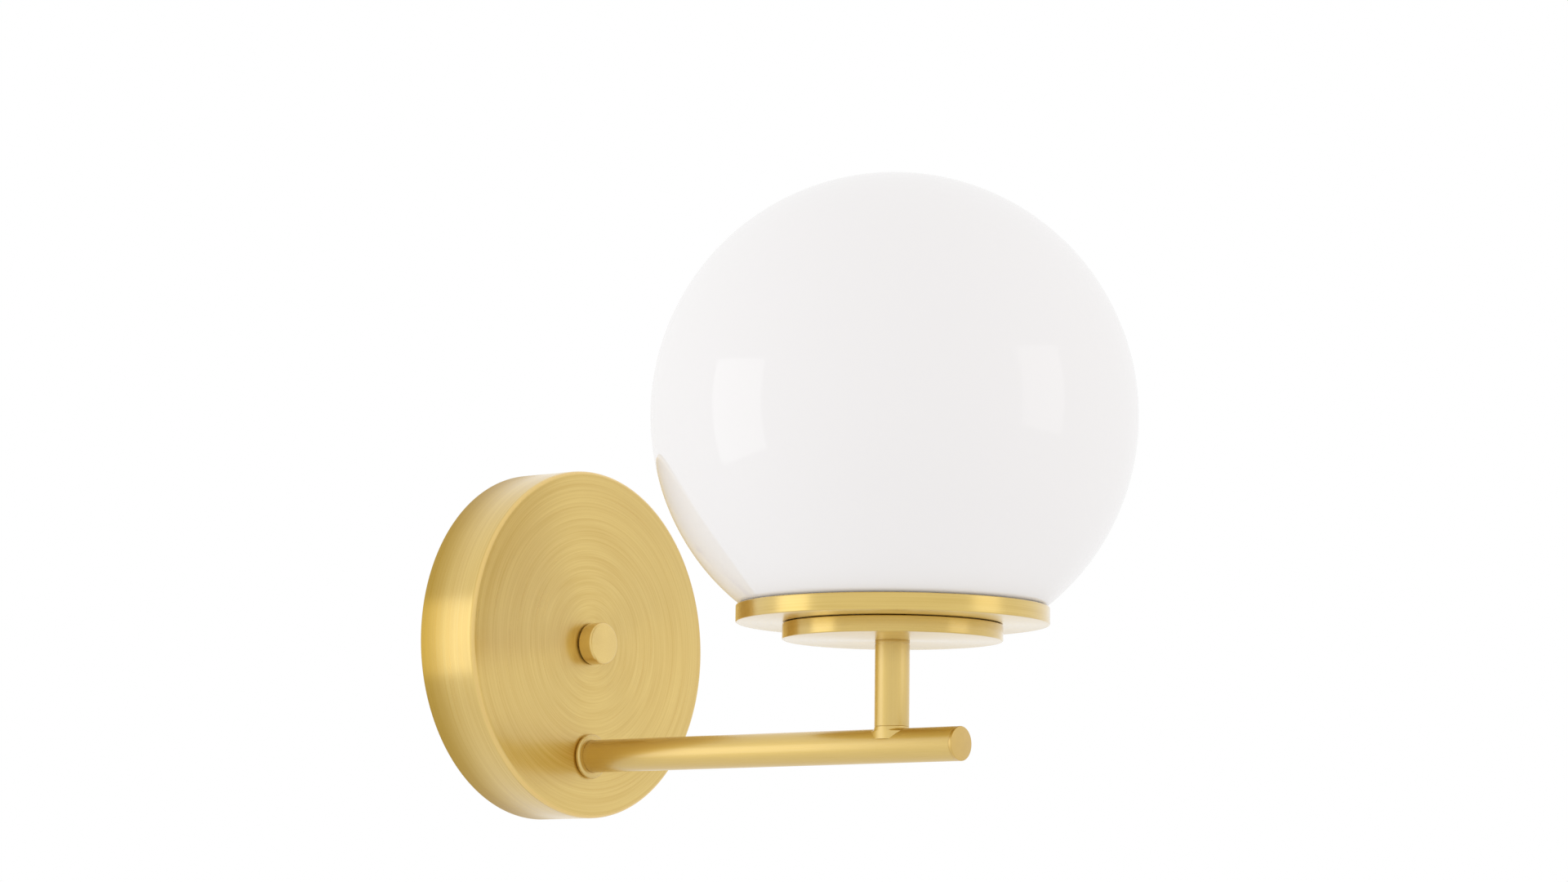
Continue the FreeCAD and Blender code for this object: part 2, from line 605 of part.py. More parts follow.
def stem_saddle():
    """The brazed saddle: a flared foot under the stem, wrapped over the arm.

    The foot is turned about the stem with a hollow flare. It is as wide as the stem across
    the arm, so the flare shows only along the arm, and it is cut to the arm's own surface.
    """
    top = arm_z + arm_radius + SADDLE_HEIGHT
    foot_z = arm_z + arm_radius - SADDLE_SKIRT
    flare_z = arm_z + arm_radius - SADDLE_FLARE * 0.6
    wide = stem_radius + SADDLE_FLARE
    hollow = at(stem_radius + SADDLE_FLARE * 0.25, stem_y, (top + 2 * flare_z) / 3)
    edges = [Part.makeLine(at(stem_bore_radius, stem_y, foot_z), at(wide, stem_y, foot_z))]
    edges.append(Part.makeLine(at(wide, stem_y, foot_z), at(wide, stem_y, flare_z)))
    edges.append(Part.Arc(at(wide, stem_y, flare_z), hollow, at(stem_radius, stem_y, top)).toShape())
    edges.append(Part.makeLine(at(stem_radius, stem_y, top), at(stem_bore_radius, stem_y, top)))
    edges.append(Part.makeLine(at(stem_bore_radius, stem_y, top), at(stem_bore_radius, stem_y, foot_z)))
    foot = Part.Face(Part.Wire(edges)).revolve(at(0, stem_y, 0), UP, 360)
    band = Part.makeBox(2 * stem_radius, 4 * wide, top - foot_z, at(-stem_radius, stem_y - 2 * wide, foot_z))
    arm = rod(arm_radius, at(0, stem_y + 2 * wide, arm_z), OUT, 4 * wide)
    return foot.common(band).cut(arm)


def stem_tube():
    """The upright tube between the saddle and the gallery."""
    base = arm_z + arm_radius + SADDLE_HEIGHT
    return ring_up(stem_radius, stem_bore_radius, base, cup_z - base)


def stem_insert():
    """The threaded bush brazed into the top of the stem."""
    return ring_up(stem_bore_radius, nipple_radius + THREAD_CLEARANCE, cup_z - INSERT_LENGTH, INSERT_LENGTH)


def stem_nipple():
    """The hollow threaded nipple from the stem through the gallery into the lampholder."""
    start = cup_z - INSERT_LENGTH
    end = holder_z + HOLDER_NECK_LENGTH + NIPPLE_PAST_NECK
    return ring_up(nipple_radius, NIPPLE_BORE / 2, start, end - start)


# Gallery

def open_cup(radius, base_z, depth):
    """A shallow round cup of sheet, open at the top, with a hole for the nipple."""
    inner = radius - GALLERY_WALL
    floor = base_z + GALLERY_WALL
    hole = nipple_radius + SCREW_CLEARANCE
    outline = [(hole, base_z), (radius, base_z), (radius, base_z + depth)]
    outline += [(inner, base_z + depth), (inner, floor), (hole, floor)]
    cup = turned_up(outline)
    rim = at(0, stem_y, base_z + depth)
    foot = at(0, stem_y, base_z)
    return round_circles(cup, GALLERY_EDGE_RADIUS, (radius, foot), (radius, rim))


def spring_angles():
    """The bearing of each leaf spring, with the first towards the wall."""
    return [90 + 360 * spring / SPRING_COUNT for spring in range(SPRING_COUNT)]


def round_the_stem(shape):
    """Copies of a shape, one at the bearing of each leaf spring."""
    copies = []
    for angle in spring_angles():
        turned = shape.copy()
        turned.rotate(at(0, stem_y, 0), UP, angle)
        copies.append(turned)
    return copies


def rivet_radius():
    """How far from the stem's line the rivets stand."""
    return spring_foot_radius + RIVET_HEAD_DIAMETER


def gallery_dish():
    """The wide dish that the glass stands in, with a rivet hole under each spring."""
    dish = open_cup(DISH_DIAMETER / 2, dish_z, DISH_DEPTH)
    hole = rod(RIVET_DIAMETER / 2, at(rivet_radius(), stem_y, dish_z), UP, GALLERY_WALL)
    return dish.cut(round_the_stem(hole))


def base_cup():
    """The small cup between the stem and the dish."""
    return open_cup(DISH_DIAMETER / 2 - GALLERY_STEP, cup_z, CUP_DEPTH)


def gallery_lock_washer():
    """The toothed washer on the dish's floor."""
    return toothed_washer(nipple_radius + SCREW_CLEARANCE, at(0, stem_y, dish_floor_z), UP)


def gallery_lock_nut():
    """The nut that clamps the dish and the cup to the stem."""
    base = at(0, stem_y, dish_floor_z + LOCK_WASHER_THICKNESS)
    return hexagon_nut(LOCK_NUT_FLATS, nipple_radius + THREAD_CLEARANCE, base, UP, LOCK_NUT_THICKNESS)


def globe_springs():
    """The leaf springs, each a bent strip that stands up inside the mouth of the glass."""
    middle = dish_floor_z + SPRING_THICKNESS / 2
    bulge = glass_mouth_radius - SPRING_CLEARANCE - SPRING_THICKNESS / 2
    points = [at(spring_foot_radius, stem_y, middle), at(bulge - SPRING_RISE_REACH, stem_y, middle)]
    points.append(at(bulge, stem_y, dish_floor_z + SPRING_BULGE_HEIGHT))
    points.append(at(bulge - SPRING_LEAN, stem_y, dish_floor_z + SPRING_HEIGHT))
    path = round_path(points, [SPRING_FOOT_BEND, SPRING_BULGE_BEND])
    half = SPRING_WIDTH / 2
    corners = []
    for across, up in ((-1, -1), (1, -1), (1, 1), (-1, 1)):
        corners.append(at(spring_foot_radius, stem_y + across * half, middle + up * SPRING_THICKNESS / 2))
    strip = path.makePipeShell([Part.makePolygon(corners + corners[:1])], True, True)
    hole = rod(RIVET_DIAMETER / 2, at(rivet_radius(), stem_y, dish_floor_z), UP, SPRING_THICKNESS)
    return Part.makeCompound(round_the_stem(strip.cut(hole)))


def spring_rivets():
    """The rivets that hold the springs, with the tail of each hidden in the cup."""
    shank_radius = RIVET_DIAMETER / 2
    head_radius = RIVET_HEAD_DIAMETER / 2
    top = dish_floor_z + SPRING_THICKNESS
    place = at(rivet_radius(), stem_y, 0)
    tail = rod(head_radius * 0.85, place + UP * (dish_z - RIVET_TAIL_HEIGHT), UP, RIVET_TAIL_HEIGHT)
    shank = rod(shank_radius, place + UP * dish_z, UP, top - dish_z)
    head = rod(head_radius, place + UP * top, UP, RIVET_HEAD_HEIGHT)
    head = round_circles(head, RIVET_HEAD_HEIGHT * 0.8, (head_radius, place + UP * (top + RIVET_HEAD_HEIGHT)))
    return Part.makeCompound(round_the_stem(tail.fuse([shank, head]).removeSplitter()))


def globe_seat_ring():
    """The soft ring that the edge of the glass stands on."""
    return ring_up(seat_ring_radius, seat_ring_radius - SEAT_RING_WIDTH, dish_floor_z, SEAT_RING_THICKNESS)


def globe_glass():
    """The blown globe: a hollow sphere cut off flat at its mouth."""
    centre = at(0, stem_y, globe_z)
    shell = Part.makeSphere(globe_radius, centre).cut(Part.makeSphere(globe_radius - GLOBE_WALL, centre))
    below = Part.makeBox(GLOBE_DIAMETER, GLOBE_DIAMETER, GLOBE_DIAMETER,
                         at(-globe_radius, stem_y - globe_radius, glass_edge_z - GLOBE_DIAMETER))
    glass = shell.cut(below)
    rim = at(0, stem_y, glass_edge_z)
    return round_circles(glass, GLOBE_EDGE_RADIUS, (glass_outer_mouth_radius, rim), (glass_mouth_radius, rim))


# Lampholder

def lampholder_cap():
    """The lower half of the lampholder, which screws onto the nipple."""
    bore = nipple_radius + THREAD_CLEARANCE
    neck = HOLDER_NECK_DIAMETER / 2
    neck_z = holder_z + HOLDER_NECK_LENGTH
    shoulder_z = neck_z + HOLDER_SHOULDER_HEIGHT
    top = holder_z + HOLDER_CAP_LENGTH
    inner = holder_radius - HOLDER_WALL
    outline = [(bore, holder_z), (neck, holder_z), (neck, neck_z), (holder_radius, shoulder_z)]
    outline += [(holder_radius, top), (inner, top), (inner, shoulder_z + HOLDER_WALL * 0.6)]
    outline += [(neck, neck_z + HOLDER_WALL * 1.1), (bore, neck_z + HOLDER_WALL * 1.1)]
    cap = turned_up(outline)
    return round_circles(cap, HOLDER_SHOULDER_RADIUS, (holder_radius, at(0, stem_y, shoulder_z)))


def wire_hole(direction):
    """The middle line of a wire's hole in the porcelain, on the wall side for direction 1."""
    return at(0, stem_y + direction * WIRE_FAN_OUT, porcelain_z)


def lampholder_porcelain():
    """The insulator that carries the contacts: a disc with a boss on top and two wire holes."""
    disc_length = PORCELAIN_LENGTH - PORCELAIN_BOSS_LENGTH
    disc = rod(porcelain_radius, at(0, stem_y, porcelain_z), UP, disc_length)
    boss_base = at(0, stem_y, porcelain_z + disc_length)
    boss = rod(PORCELAIN_BOSS_DIAMETER / 2, boss_base, UP, PORCELAIN_BOSS_LENGTH)
    holes = []
    for direction in (1, -1):
        holes.append(rod(WIRE_DIAMETER / 2 + SCREW_CLEARANCE, wire_hole(direction), UP, disc_length))
    return disc.fuse(boss).cut(holes)


def lampholder_shell():
    """The upper half of the lampholder, with grip rings turned round its outside."""
    start = holder_z + HOLDER_CAP_LENGTH
    top = start + HOLDER_SHELL_LENGTH
    inner = holder_radius - HOLDER_WALL
    step_z = boss_z - PORCELAIN_BOSS_LENGTH + SEAT_CLEARANCE
    mouth = HOLDER_MOUTH_DIAMETER / 2
    outline = [(inner, start), (holder_radius, start)]
    pitch = HOLDER_SHELL_LENGTH / (3 * HOLDER_RING_COUNT)
    groove = HOLDER_WALL * 0.35
    for ring in range(HOLDER_RING_COUNT):
        z = start + pitch * (ring + 1)
        outline += [(holder_radius, z), (holder_radius - groove, z + pitch * 0.2)]
        outline += [(holder_radius - groove, z + pitch * 0.5), (holder_radius, z + pitch * 0.7)]
    outline += [(holder_radius, top - HOLDER_MOUTH_CHAMFER), (holder_radius - HOLDER_MOUTH_CHAMFER, top)]
    outline += [(mouth, top), (mouth, step_z), (inner, step_z)]
    return turned_up(outline)


def screw_contact():
    """The thin screw shell that grips the bulb's cap, with a flange on the porcelain."""
    outer = screw_contact_radius + SCREW_CONTACT_WALL
    floor = boss_z + SCREW_CONTACT_WALL
    top = boss_z + SCREW_CONTACT_LENGTH
    hole = screw_contact_radius * 0.72
    outline = [(hole, boss_z), (outer, boss_z), (outer, top)]
    outline += [(screw_contact_radius, top), (screw_contact_radius, floor), (hole, floor)]
    return turned_up(outline)


def centre_contact():
    """The spring tongue under the bulb's tip, bent up from its foot on the porcelain."""
    foot = screw_contact_radius * 0.6
    half_thickness = TONGUE_THICKNESS / 2
    low = boss_z + half_thickness
    high = boss_z + TONGUE_RISE - half_thickness
    points = [at(-foot, stem_y, low), at(-foot * 0.63, stem_y, low)]
    points += [at(-foot * 0.19, stem_y, high), at(foot * 0.37, stem_y, high)]
    path = round_path(points, [TONGUE_BEND, TONGUE_BEND])
    half = TONGUE_WIDTH / 2
    corners = []
    for across, up in ((-1, -1), (1, -1), (1, 1), (-1, 1)):
        corners.append(at(-foot, stem_y + across * half, low + up * half_thickness))
    return path.makePipeShell([Part.makePolygon(corners + corners[:1])], True, True)


# Bulb

def bulb_contact():
    """The tip of the bulb's cap."""
    radius = BULB_CONTACT_DIAMETER / 2
    top = bulb_z + BULB_CONTACT_HEIGHT
    outline = [(0, bulb_z), (radius - BULB_CONTACT_BEVEL * 2, bulb_z), (radius, bulb_z + BULB_CONTACT_BEVEL)]
    outline += [(radius, top), (0, top)]
    return turned_up(outline)


def bulb_insulator():
    """The glass insulator between the tip and the screw cap."""
    base = bulb_z + BULB_CONTACT_HEIGHT
    outline = [(0, base), (BULB_CONTACT_DIAMETER / 2 + 0.6, base)]
    outline += [(bulb_cap_radius - BULB_CAP_SHOULDER, bulb_cap_z), (0, bulb_cap_z)]
    return turned_up(outline)


def bulb_cap():
    """The screw cap, a thin shell closed towards its insulator."""
    inner = bulb_cap_radius - BULB_CAP_WALL
    side_z = bulb_cap_z + BULB_CAP_SHOULDER
    floor = side_z + BULB_CAP_WALL
    outline = [(0, bulb_cap_z), (bulb_cap_radius - BULB_CAP_SHOULDER, bulb_cap_z), (bulb_cap_radius, side_z)]
    outline += [(bulb_cap_radius, bulb_collar_z), (inner, bulb_collar_z), (inner, floor), (0, floor)]
    return turned_up(outline)


def collar_side(radius_offset):
    """The hollow curve of the bulb's collar, from the cap out to its widest place."""
    low = at(bulb_cap_radius - radius_offset, stem_y, bulb_collar_z)
    high = at(BULB_DIAMETER / 2 - 1 - radius_offset, stem_y, bulb_diffuser_z)
    middle = at((low.x * 0.62 + high.x * 0.38), stem_y, (low.z + high.z) / 2)
    return low, middle, high


def bulb_collar():
    """The flared collar of the bulb."""
    low, middle, high = collar_side(0)
    inner_low, inner_middle, inner_high = collar_side(BULB_WALL)
    edges = [Part.Arc(low, middle, high).toShape(), Part.makeLine(high, inner_high)]
    edges.append(Part.Arc(inner_high, inner_middle, inner_low).toShape())
    edges.append(Part.makeLine(inner_low, low))
    return Part.Face(Part.Wire(edges)).revolve(at(0, stem_y, 0), UP, 360)


def bulb_diffuser():
    """The round diffuser of the bulb, open where it joins the collar."""
    radius = BULB_DIAMETER / 2
    top = bulb_diffuser_z + BULB_DIFFUSER_HEIGHT
    centre_z = top - radius
    rim = math.sqrt(radius ** 2 - (centre_z - bulb_diffuser_z) ** 2)
    inner_radius = radius - BULB_WALL
    inner_rim = math.sqrt(inner_radius ** 2 - (centre_z - bulb_diffuser_z) ** 2)
    start = at(rim, stem_y, bulb_diffuser_z)
    inner_start = at(inner_rim, stem_y, bulb_diffuser_z)
    edges = [Part.Arc(start, at(radius, stem_y, centre_z), at(0, stem_y, top)).toShape()]
    edges.append(Part.makeLine(at(0, stem_y, top), at(0, stem_y, top - BULB_WALL)))
    inner_top = at(0, stem_y, top - BULB_WALL)
    edges.append(Part.Arc(inner_top, at(inner_radius, stem_y, centre_z), inner_start).toShape())
    edges.append(Part.makeLine(inner_start, start))
    return Part.Face(Part.Wire(edges)).revolve(at(0, stem_y, 0), UP, 360)


# Wires

def mains_wire(pole_x, direction):
    """A wire from the terminal block through the arm and the stem to the lampholder.

    The two wires lie one above the other in the arm and one behind the other in the stem.
    direction is 1 for the upper one, which takes the inside of the bend at the tee.
    """
    offset = direction * WIRE_SPACING / 2
    fan_z = holder_z + HOLDER_NECK_LENGTH + 2 * NIPPLE_PAST_NECK
    points = [at(pole_x, barrel_y, block_bottom_z + WIRE_END_IN_BLOCK)]
    points.append(at(pole_x, barrel_y, arm_z + direction * WIRE_SPREAD))
    points.append(at(0, barrel_y, arm_z + offset))
    points.append(at(0, stem_y + offset, arm_z + offset))
    points.append(at(0, stem_y + offset, fan_z))
    fan_y = stem_y + direction * WIRE_FAN_OUT
    points.append(at(0, fan_y, porcelain_z - WIRE_STRAIGHT_AT_PORCELAIN))
    points.append(at(0, fan_y, porcelain_z + WIRE_END_IN_PORCELAIN))
    radii = [WIRE_BEND_RADIUS, WIRE_TURN_RADIUS, WIRE_TEE_RADIUS - offset]
    radii += [WIRE_BEND_RADIUS, WIRE_BEND_RADIUS]
    return round_wire(points, radii)


def earth_wire(pole_x):
    """The short wire from the terminal block to the ring tag on the arm's nipple."""
    tag_y = -canopy_inside + tag_barrel_radius
    tongue_end = -LOCK_WASHER_DIAMETER / 2 - TAG_TONGUE_LENGTH
    points = [at(pole_x, barrel_y, block_bottom_z + WIRE_END_IN_BLOCK)]
    points.append(at(pole_x, barrel_y, arm_z + EARTH_WIRE_DROP))
    points.append(at(pole_x, tag_y, arm_z))
    points.append(at(tongue_end - TAG_OVERLAP, tag_y, arm_z))
    return round_wire(points, [WIRE_BEND_RADIUS, WIRE_BEND_RADIUS])


def all_nodes():
    """Every piece of the sconce under its own name."""
    earth_x, neutral_x, live_x = pole_places()[0], pole_places()[1], pole_places()[-1]
    return {
        "wall_bracket": wall_bracket(),
        "bracket_stud": bracket_stud(),
        "canopy_stop_nut": canopy_stop_nut(),
        "canopy": canopy(),
        "knob_washer": knob_washer(),
        "canopy_knob": canopy_knob(),
        "earth_screw": earth_screw(),
        "earth_cup_washer": earth_cup_washer(),
        "terminal_block": terminal_block(),
        "terminal_barrels": terminal_barrels(),
        "terminal_screws": terminal_screws(),
        "block_fixing_screws": block_fixing_screws(),
        "arm_ferrule": arm_ferrule(),
        "arm_tube": arm_tube(),
        "arm_end_cap": arm_end_cap(),
        "arm_insert": arm_insert(),
        "arm_nipple": arm_nipple(),
        "earth_tag": earth_tag(),
        "arm_lock_washer": arm_lock_washer(),
        "arm_lock_nut": arm_lock_nut(),
        "stem_saddle": stem_saddle(),
        "stem_tube": stem_tube(),
        "stem_insert": stem_insert(),
        "stem_nipple": stem_nipple(),
        "base_cup": base_cup(),
        "gallery_dish": gallery_dish(),
        "gallery_lock_washer": gallery_lock_washer(),
        "gallery_lock_nut": gallery_lock_nut(),
        "globe_springs": globe_springs(),
        "spring_rivets": spring_rivets(),
        "globe_seat_ring": globe_seat_ring(),
        "globe_glass": globe_glass(),
        "lampholder_cap": lampholder_cap(),
        "lampholder_porcelain": lampholder_porcelain(),
        "lampholder_shell": lampholder_shell(),
        "screw_contact": screw_contact(),
        "centre_contact": centre_contact(),
        "bulb_contact": bulb_contact(),
        "bulb_insulator": bulb_insulator(),
        "bulb_cap": bulb_cap(),
        "bulb_collar": bulb_collar(),
        "bulb_diffuser": bulb_diffuser(),
        "live_wire": mains_wire(live_x, 1),
        "neutral_wire": mains_wire(neutral_x, -1),
        "earth_wire": earth_wire(earth_x),
    }


os.makedirs("parts", exist_ok=True)
for name, shape in all_nodes().items():
    shape.exportStep(f"parts/{name}.step")
    print(f"{name}: {len(shape.Solids)} solid(s), {shape.Volume / 1000:.3f} cm3, valid {shape.isValid()}")
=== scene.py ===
"""The looks of the globe wall sconce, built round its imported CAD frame.

Lengths in the classes are millimetres, as in the part's source, and become metres when a mesh
is made. The wall is the plane Y = 0, the lamp stands out along -Y, and +Z is up.
"""
import json
import logging
import math
from dataclasses import dataclass, field
from enum import Enum, IntEnum
from typing import Callable, Iterable, Sequence

import bmesh
import bpy
from bmesh.types import BMesh
from bpy.types import ID, Material, Mesh, Node, NodeSocket, NodeTree, Object, Scene, bpy_prop_collection
from mathutils import Matrix, Vector


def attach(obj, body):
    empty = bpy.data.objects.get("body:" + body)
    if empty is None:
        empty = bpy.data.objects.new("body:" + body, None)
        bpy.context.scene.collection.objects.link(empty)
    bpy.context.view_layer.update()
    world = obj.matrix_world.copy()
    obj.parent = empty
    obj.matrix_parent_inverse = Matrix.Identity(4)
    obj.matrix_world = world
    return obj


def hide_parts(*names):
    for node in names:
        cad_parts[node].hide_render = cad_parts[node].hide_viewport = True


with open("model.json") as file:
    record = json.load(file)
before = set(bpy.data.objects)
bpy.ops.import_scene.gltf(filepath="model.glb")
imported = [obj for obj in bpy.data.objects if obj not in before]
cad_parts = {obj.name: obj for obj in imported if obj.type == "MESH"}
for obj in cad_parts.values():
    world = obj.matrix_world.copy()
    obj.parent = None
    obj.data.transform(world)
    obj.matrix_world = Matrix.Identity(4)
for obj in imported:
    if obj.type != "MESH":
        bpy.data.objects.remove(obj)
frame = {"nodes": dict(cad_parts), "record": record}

LOG = logging.getLogger("sconce")
MM = 0.001
STEM_Y = -193.0
ARM_Z = -48.5
JOIN_GAP = 2e-6
THREAD_PITCH = 1.0
THREAD_RIDGE = 0.4
THREAD_SINK = 0.42
THREAD_ROOT = 0.45

Outline = list[tuple[float, float]]
Colour = tuple[float, float, float]
Feed = float | tuple | NodeSocket

RECORD = frame["record"]
BODY_OF = {node: body for body, nodes in RECORD["behaviour"]["bodies"].items() for node in nodes}


class Axis(Enum):
    """The lines that the round pieces are turned about."""

    STEM = "stem"
    CANOPY = "canopy"
    ARM = "arm"

    @property
    def centre(self) -> Vector:
        """A point of the line, in metres.

        Returns:
            The point.
        """
        if self is Axis.STEM:
            return Vector((0.0, STEM_Y * MM, 0.0))
        return Vector((0.0, 0.0, ARM_Z * MM if self is Axis.ARM else 0.0))

    @property
    def direction(self) -> Vector:
        """The way along the line."""
        return Vector((0.0, 0.0, 1.0)) if self is Axis.STEM else Vector((0.0, -1.0, 0.0))

    def place(self, radius: float, along: float, angle: float) -> Vector:
        """Turns a corner of an outline into a point of the mesh.

        Args:
            radius: Distance from the line, in millimetres.
            along: Distance along the line, in millimetres.
            angle: How far round the line, in radians.

        Returns:
            The point, in metres.
        """
        across, rise = radius * math.cos(angle), radius * math.sin(angle)
        if self is Axis.STEM:
            return Vector((across, STEM_Y + rise, along)) * MM
        return Vector((across, -along, self.centre.z / MM + rise)) * MM


class Sides(IntEnum):
    """How many facets go round a piece, the more the larger it shows."""

    DISH = 360
    GLOBE = 288
    SEAT = 240
    TUBE = 192
    KNOB = 160
    HOLDER = 144
    BULB = 120
    WASHER = 96
    NIPPLE = 72
    STUD = 64
    TIP = 48
    RIVET = 40


# Meshes

def placed(name: str, data: ID) -> Object:
    """Makes an object and links it into the scene.

    Args:
        name: Its name.
        data: Its mesh, lamp or camera.

    Returns:
        The object.
    """
    thing = bpy.data.objects.new(name, data)
    bpy.context.scene.collection.objects.link(thing)
    return thing


def softened(outline: Outline, radii: dict[int, float], steps: int = 5) -> Outline:
    """Rounds some corners of a closed outline.

    Args:
        outline: The corners, as (radius, along).
        radii: The rounding of a corner, by its index.
        steps: Facets of each rounding.

    Returns:
        The outline with an arc in place of each such corner.
    """
    result: Outline = []
    count = len(outline)
    for index, corner in enumerate(outline):
        radius = radii.get(index, 0.0)
        here = Vector(corner)
        before = Vector(outline[index - 1]) - here
        after = Vector(outline[(index + 1) % count]) - here
        if radius <= 0 or before.length < 1e-9 or after.length < 1e-9:
            result.append(corner)
            continue
        half = before.angle(after) / 2
        reach = min(radius / math.tan(half), before.length * 0.49, after.length * 0.49)
        fit = reach * math.tan(half)
        centre = here + (before.normalized() + after.normalized()).normalized() * (fit / math.sin(half))
        start = here + before.normalized() * reach - centre
        end = here + after.normalized() * reach - centre
        turn = start.angle_signed(end)
        for step in range(steps + 1):
            share = step / steps
            spoke = Matrix.Rotation(-turn * share, 2) @ start
            result.append(tuple(centre + spoke))
    return result


def arc(centre: tuple[float, float], radius: float, start: float, end: float, steps: int) -> Outline:
    """Points of an arc in an outline.

    Args:
        centre: Its centre, as (radius, along).
        radius: Its radius.
        start: The angle of its first point, in degrees, from the outward direction.
        end: The angle of its last point.
        steps: Facets along it.

    Returns:
        The points, first and last included.
    """
    points: Outline = []
    for step in range(steps + 1):
        angle = math.radians(start + (end - start) * step / steps)
        points.append((max(centre[0] + radius * math.cos(angle), 0.0), centre[1] + radius * math.sin(angle)))
    return points


def band(inner: float, outer: float, low: float, high: float) -> Outline:
    """The section of a plain ring, from its lower inner corner outwards."""
    return [(inner, low), (outer, low), (outer, high), (inner, high)]


def hollow_ball(centre: float, drop: float, radius: float, wall: float, rows: int) -> Outline:
    """The section of a hollow ball that is cut off flat below its centre.

    Args:
        centre: The height of its centre.
        drop: How far below the centre it is cut.
        radius: Its outer radius.
        wall: The thickness of its wall.
        rows: Facets along each arc.

    Returns:
        The section, from the outer edge of the cut over the top to the inner one.
    """
    inner = radius - wall
    low_out, low_in = (-math.degrees(math.asin(drop / size)) for size in (radius, inner))
    middle = (0.0, centre)
    return arc(middle, radius, low_out, 90.0, rows) + arc(middle, inner, 90.0, low_in, rows)


def through(first: Sequence[float], middle: Sequence[float], last: Sequence[float], steps: int) -> Outline:
    """Points of the circle's arc through three points.

    Args:
        first: Where it starts.
        middle: A point between.
        last: Where it ends.
        steps: Facets along it.

    Returns:
        The points.
    """
    (ax, ay), (bx, by), (cx, cy) = first, middle, last
    twice = 2 * (ax * (by - cy) + bx * (cy - ay) + cx * (ay - by))
    a2, b2, c2 = ax * ax + ay * ay, bx * bx + by * by, cx * cx + cy * cy
    centre = Vector(((a2 * (by - cy) + b2 * (cy - ay) + c2 * (ay - by)) / twice,
                     (a2 * (cx - bx) + b2 * (ax - cx) + c2 * (bx - ax)) / twice))
    start, end = Vector(first) - centre, Vector(last) - centre
    turn = start.angle_signed(end)
    return [tuple(centre + Matrix.Rotation(-turn * step / steps, 2) @ start) for step in range(steps + 1)]


def finished_mesh(name: str, shape: BMesh, sharp_degrees: float = 35.0) -> Object:
    """Makes an object of a bmesh, with its faces outwards, smooth between sharp edges.

    Args:
        name: The piece's name.
        shape: The mesh, which is freed.
        sharp_degrees: The angle past which an edge stays sharp.

    Returns:
        The object, at the origin.
    """
    if shape.calc_volume(signed=True) < 0:
        bmesh.ops.reverse_faces(shape, faces=shape.faces[:])
    mesh = bpy.data.meshes.new(name)
    shape.to_mesh(mesh)
    shape.free()
    mesh.polygons.foreach_set("use_smooth", [True] * len(mesh.polygons))
    mesh.set_sharp_from_angle(angle=math.radians(sharp_degrees))
    return placed(name, mesh)


def turned(
    name: str,
    axis: Axis,
    outline: Outline,
    sides: int,
    wave: Callable[[float, float, float], float] | None = None,
) -> Object:
    """Turns a closed outline about an axis.

    Args:
        name: The piece's name.
        axis: The line that it is turned about.
        outline: Its corners as (radius, along), in millimetres.
        sides: Facets round it.
        wave: Adds to a corner's radius, from (radius, along, angle), such as for a thread.

    Returns:
        The piece.
    """
    shape = bmesh.new()
    rings = []
    for radius, along in outline:
        if radius < 1e-6:
            rings.append([shape.verts.new(axis.place(0.0, along, 0.0))])
            continue
        ring = []
        for side in range(sides):
            angle = 2 * math.pi * side / sides
            extra = wave(radius, along, angle) if wave else 0.0
            ring.append(shape.verts.new(axis.place(radius + extra, along, angle)))
        rings.append(ring)
    for lower, upper in zip(rings, rings[1:] + rings[:1]):
        if len(lower) == 1 and len(upper) == 1:
            continue
        for side in range(sides):
            after = (side + 1) % sides
            corners = [lower[side % len(lower)], lower[after % len(lower)]]
            corners += [upper[after % len(upper)], upper[side % len(upper)]]
            unique = list(dict.fromkeys(corners))
            if len(unique) > 2:
                shape.faces.new(unique)
    return finished_mesh(name, shape)


# Node trees

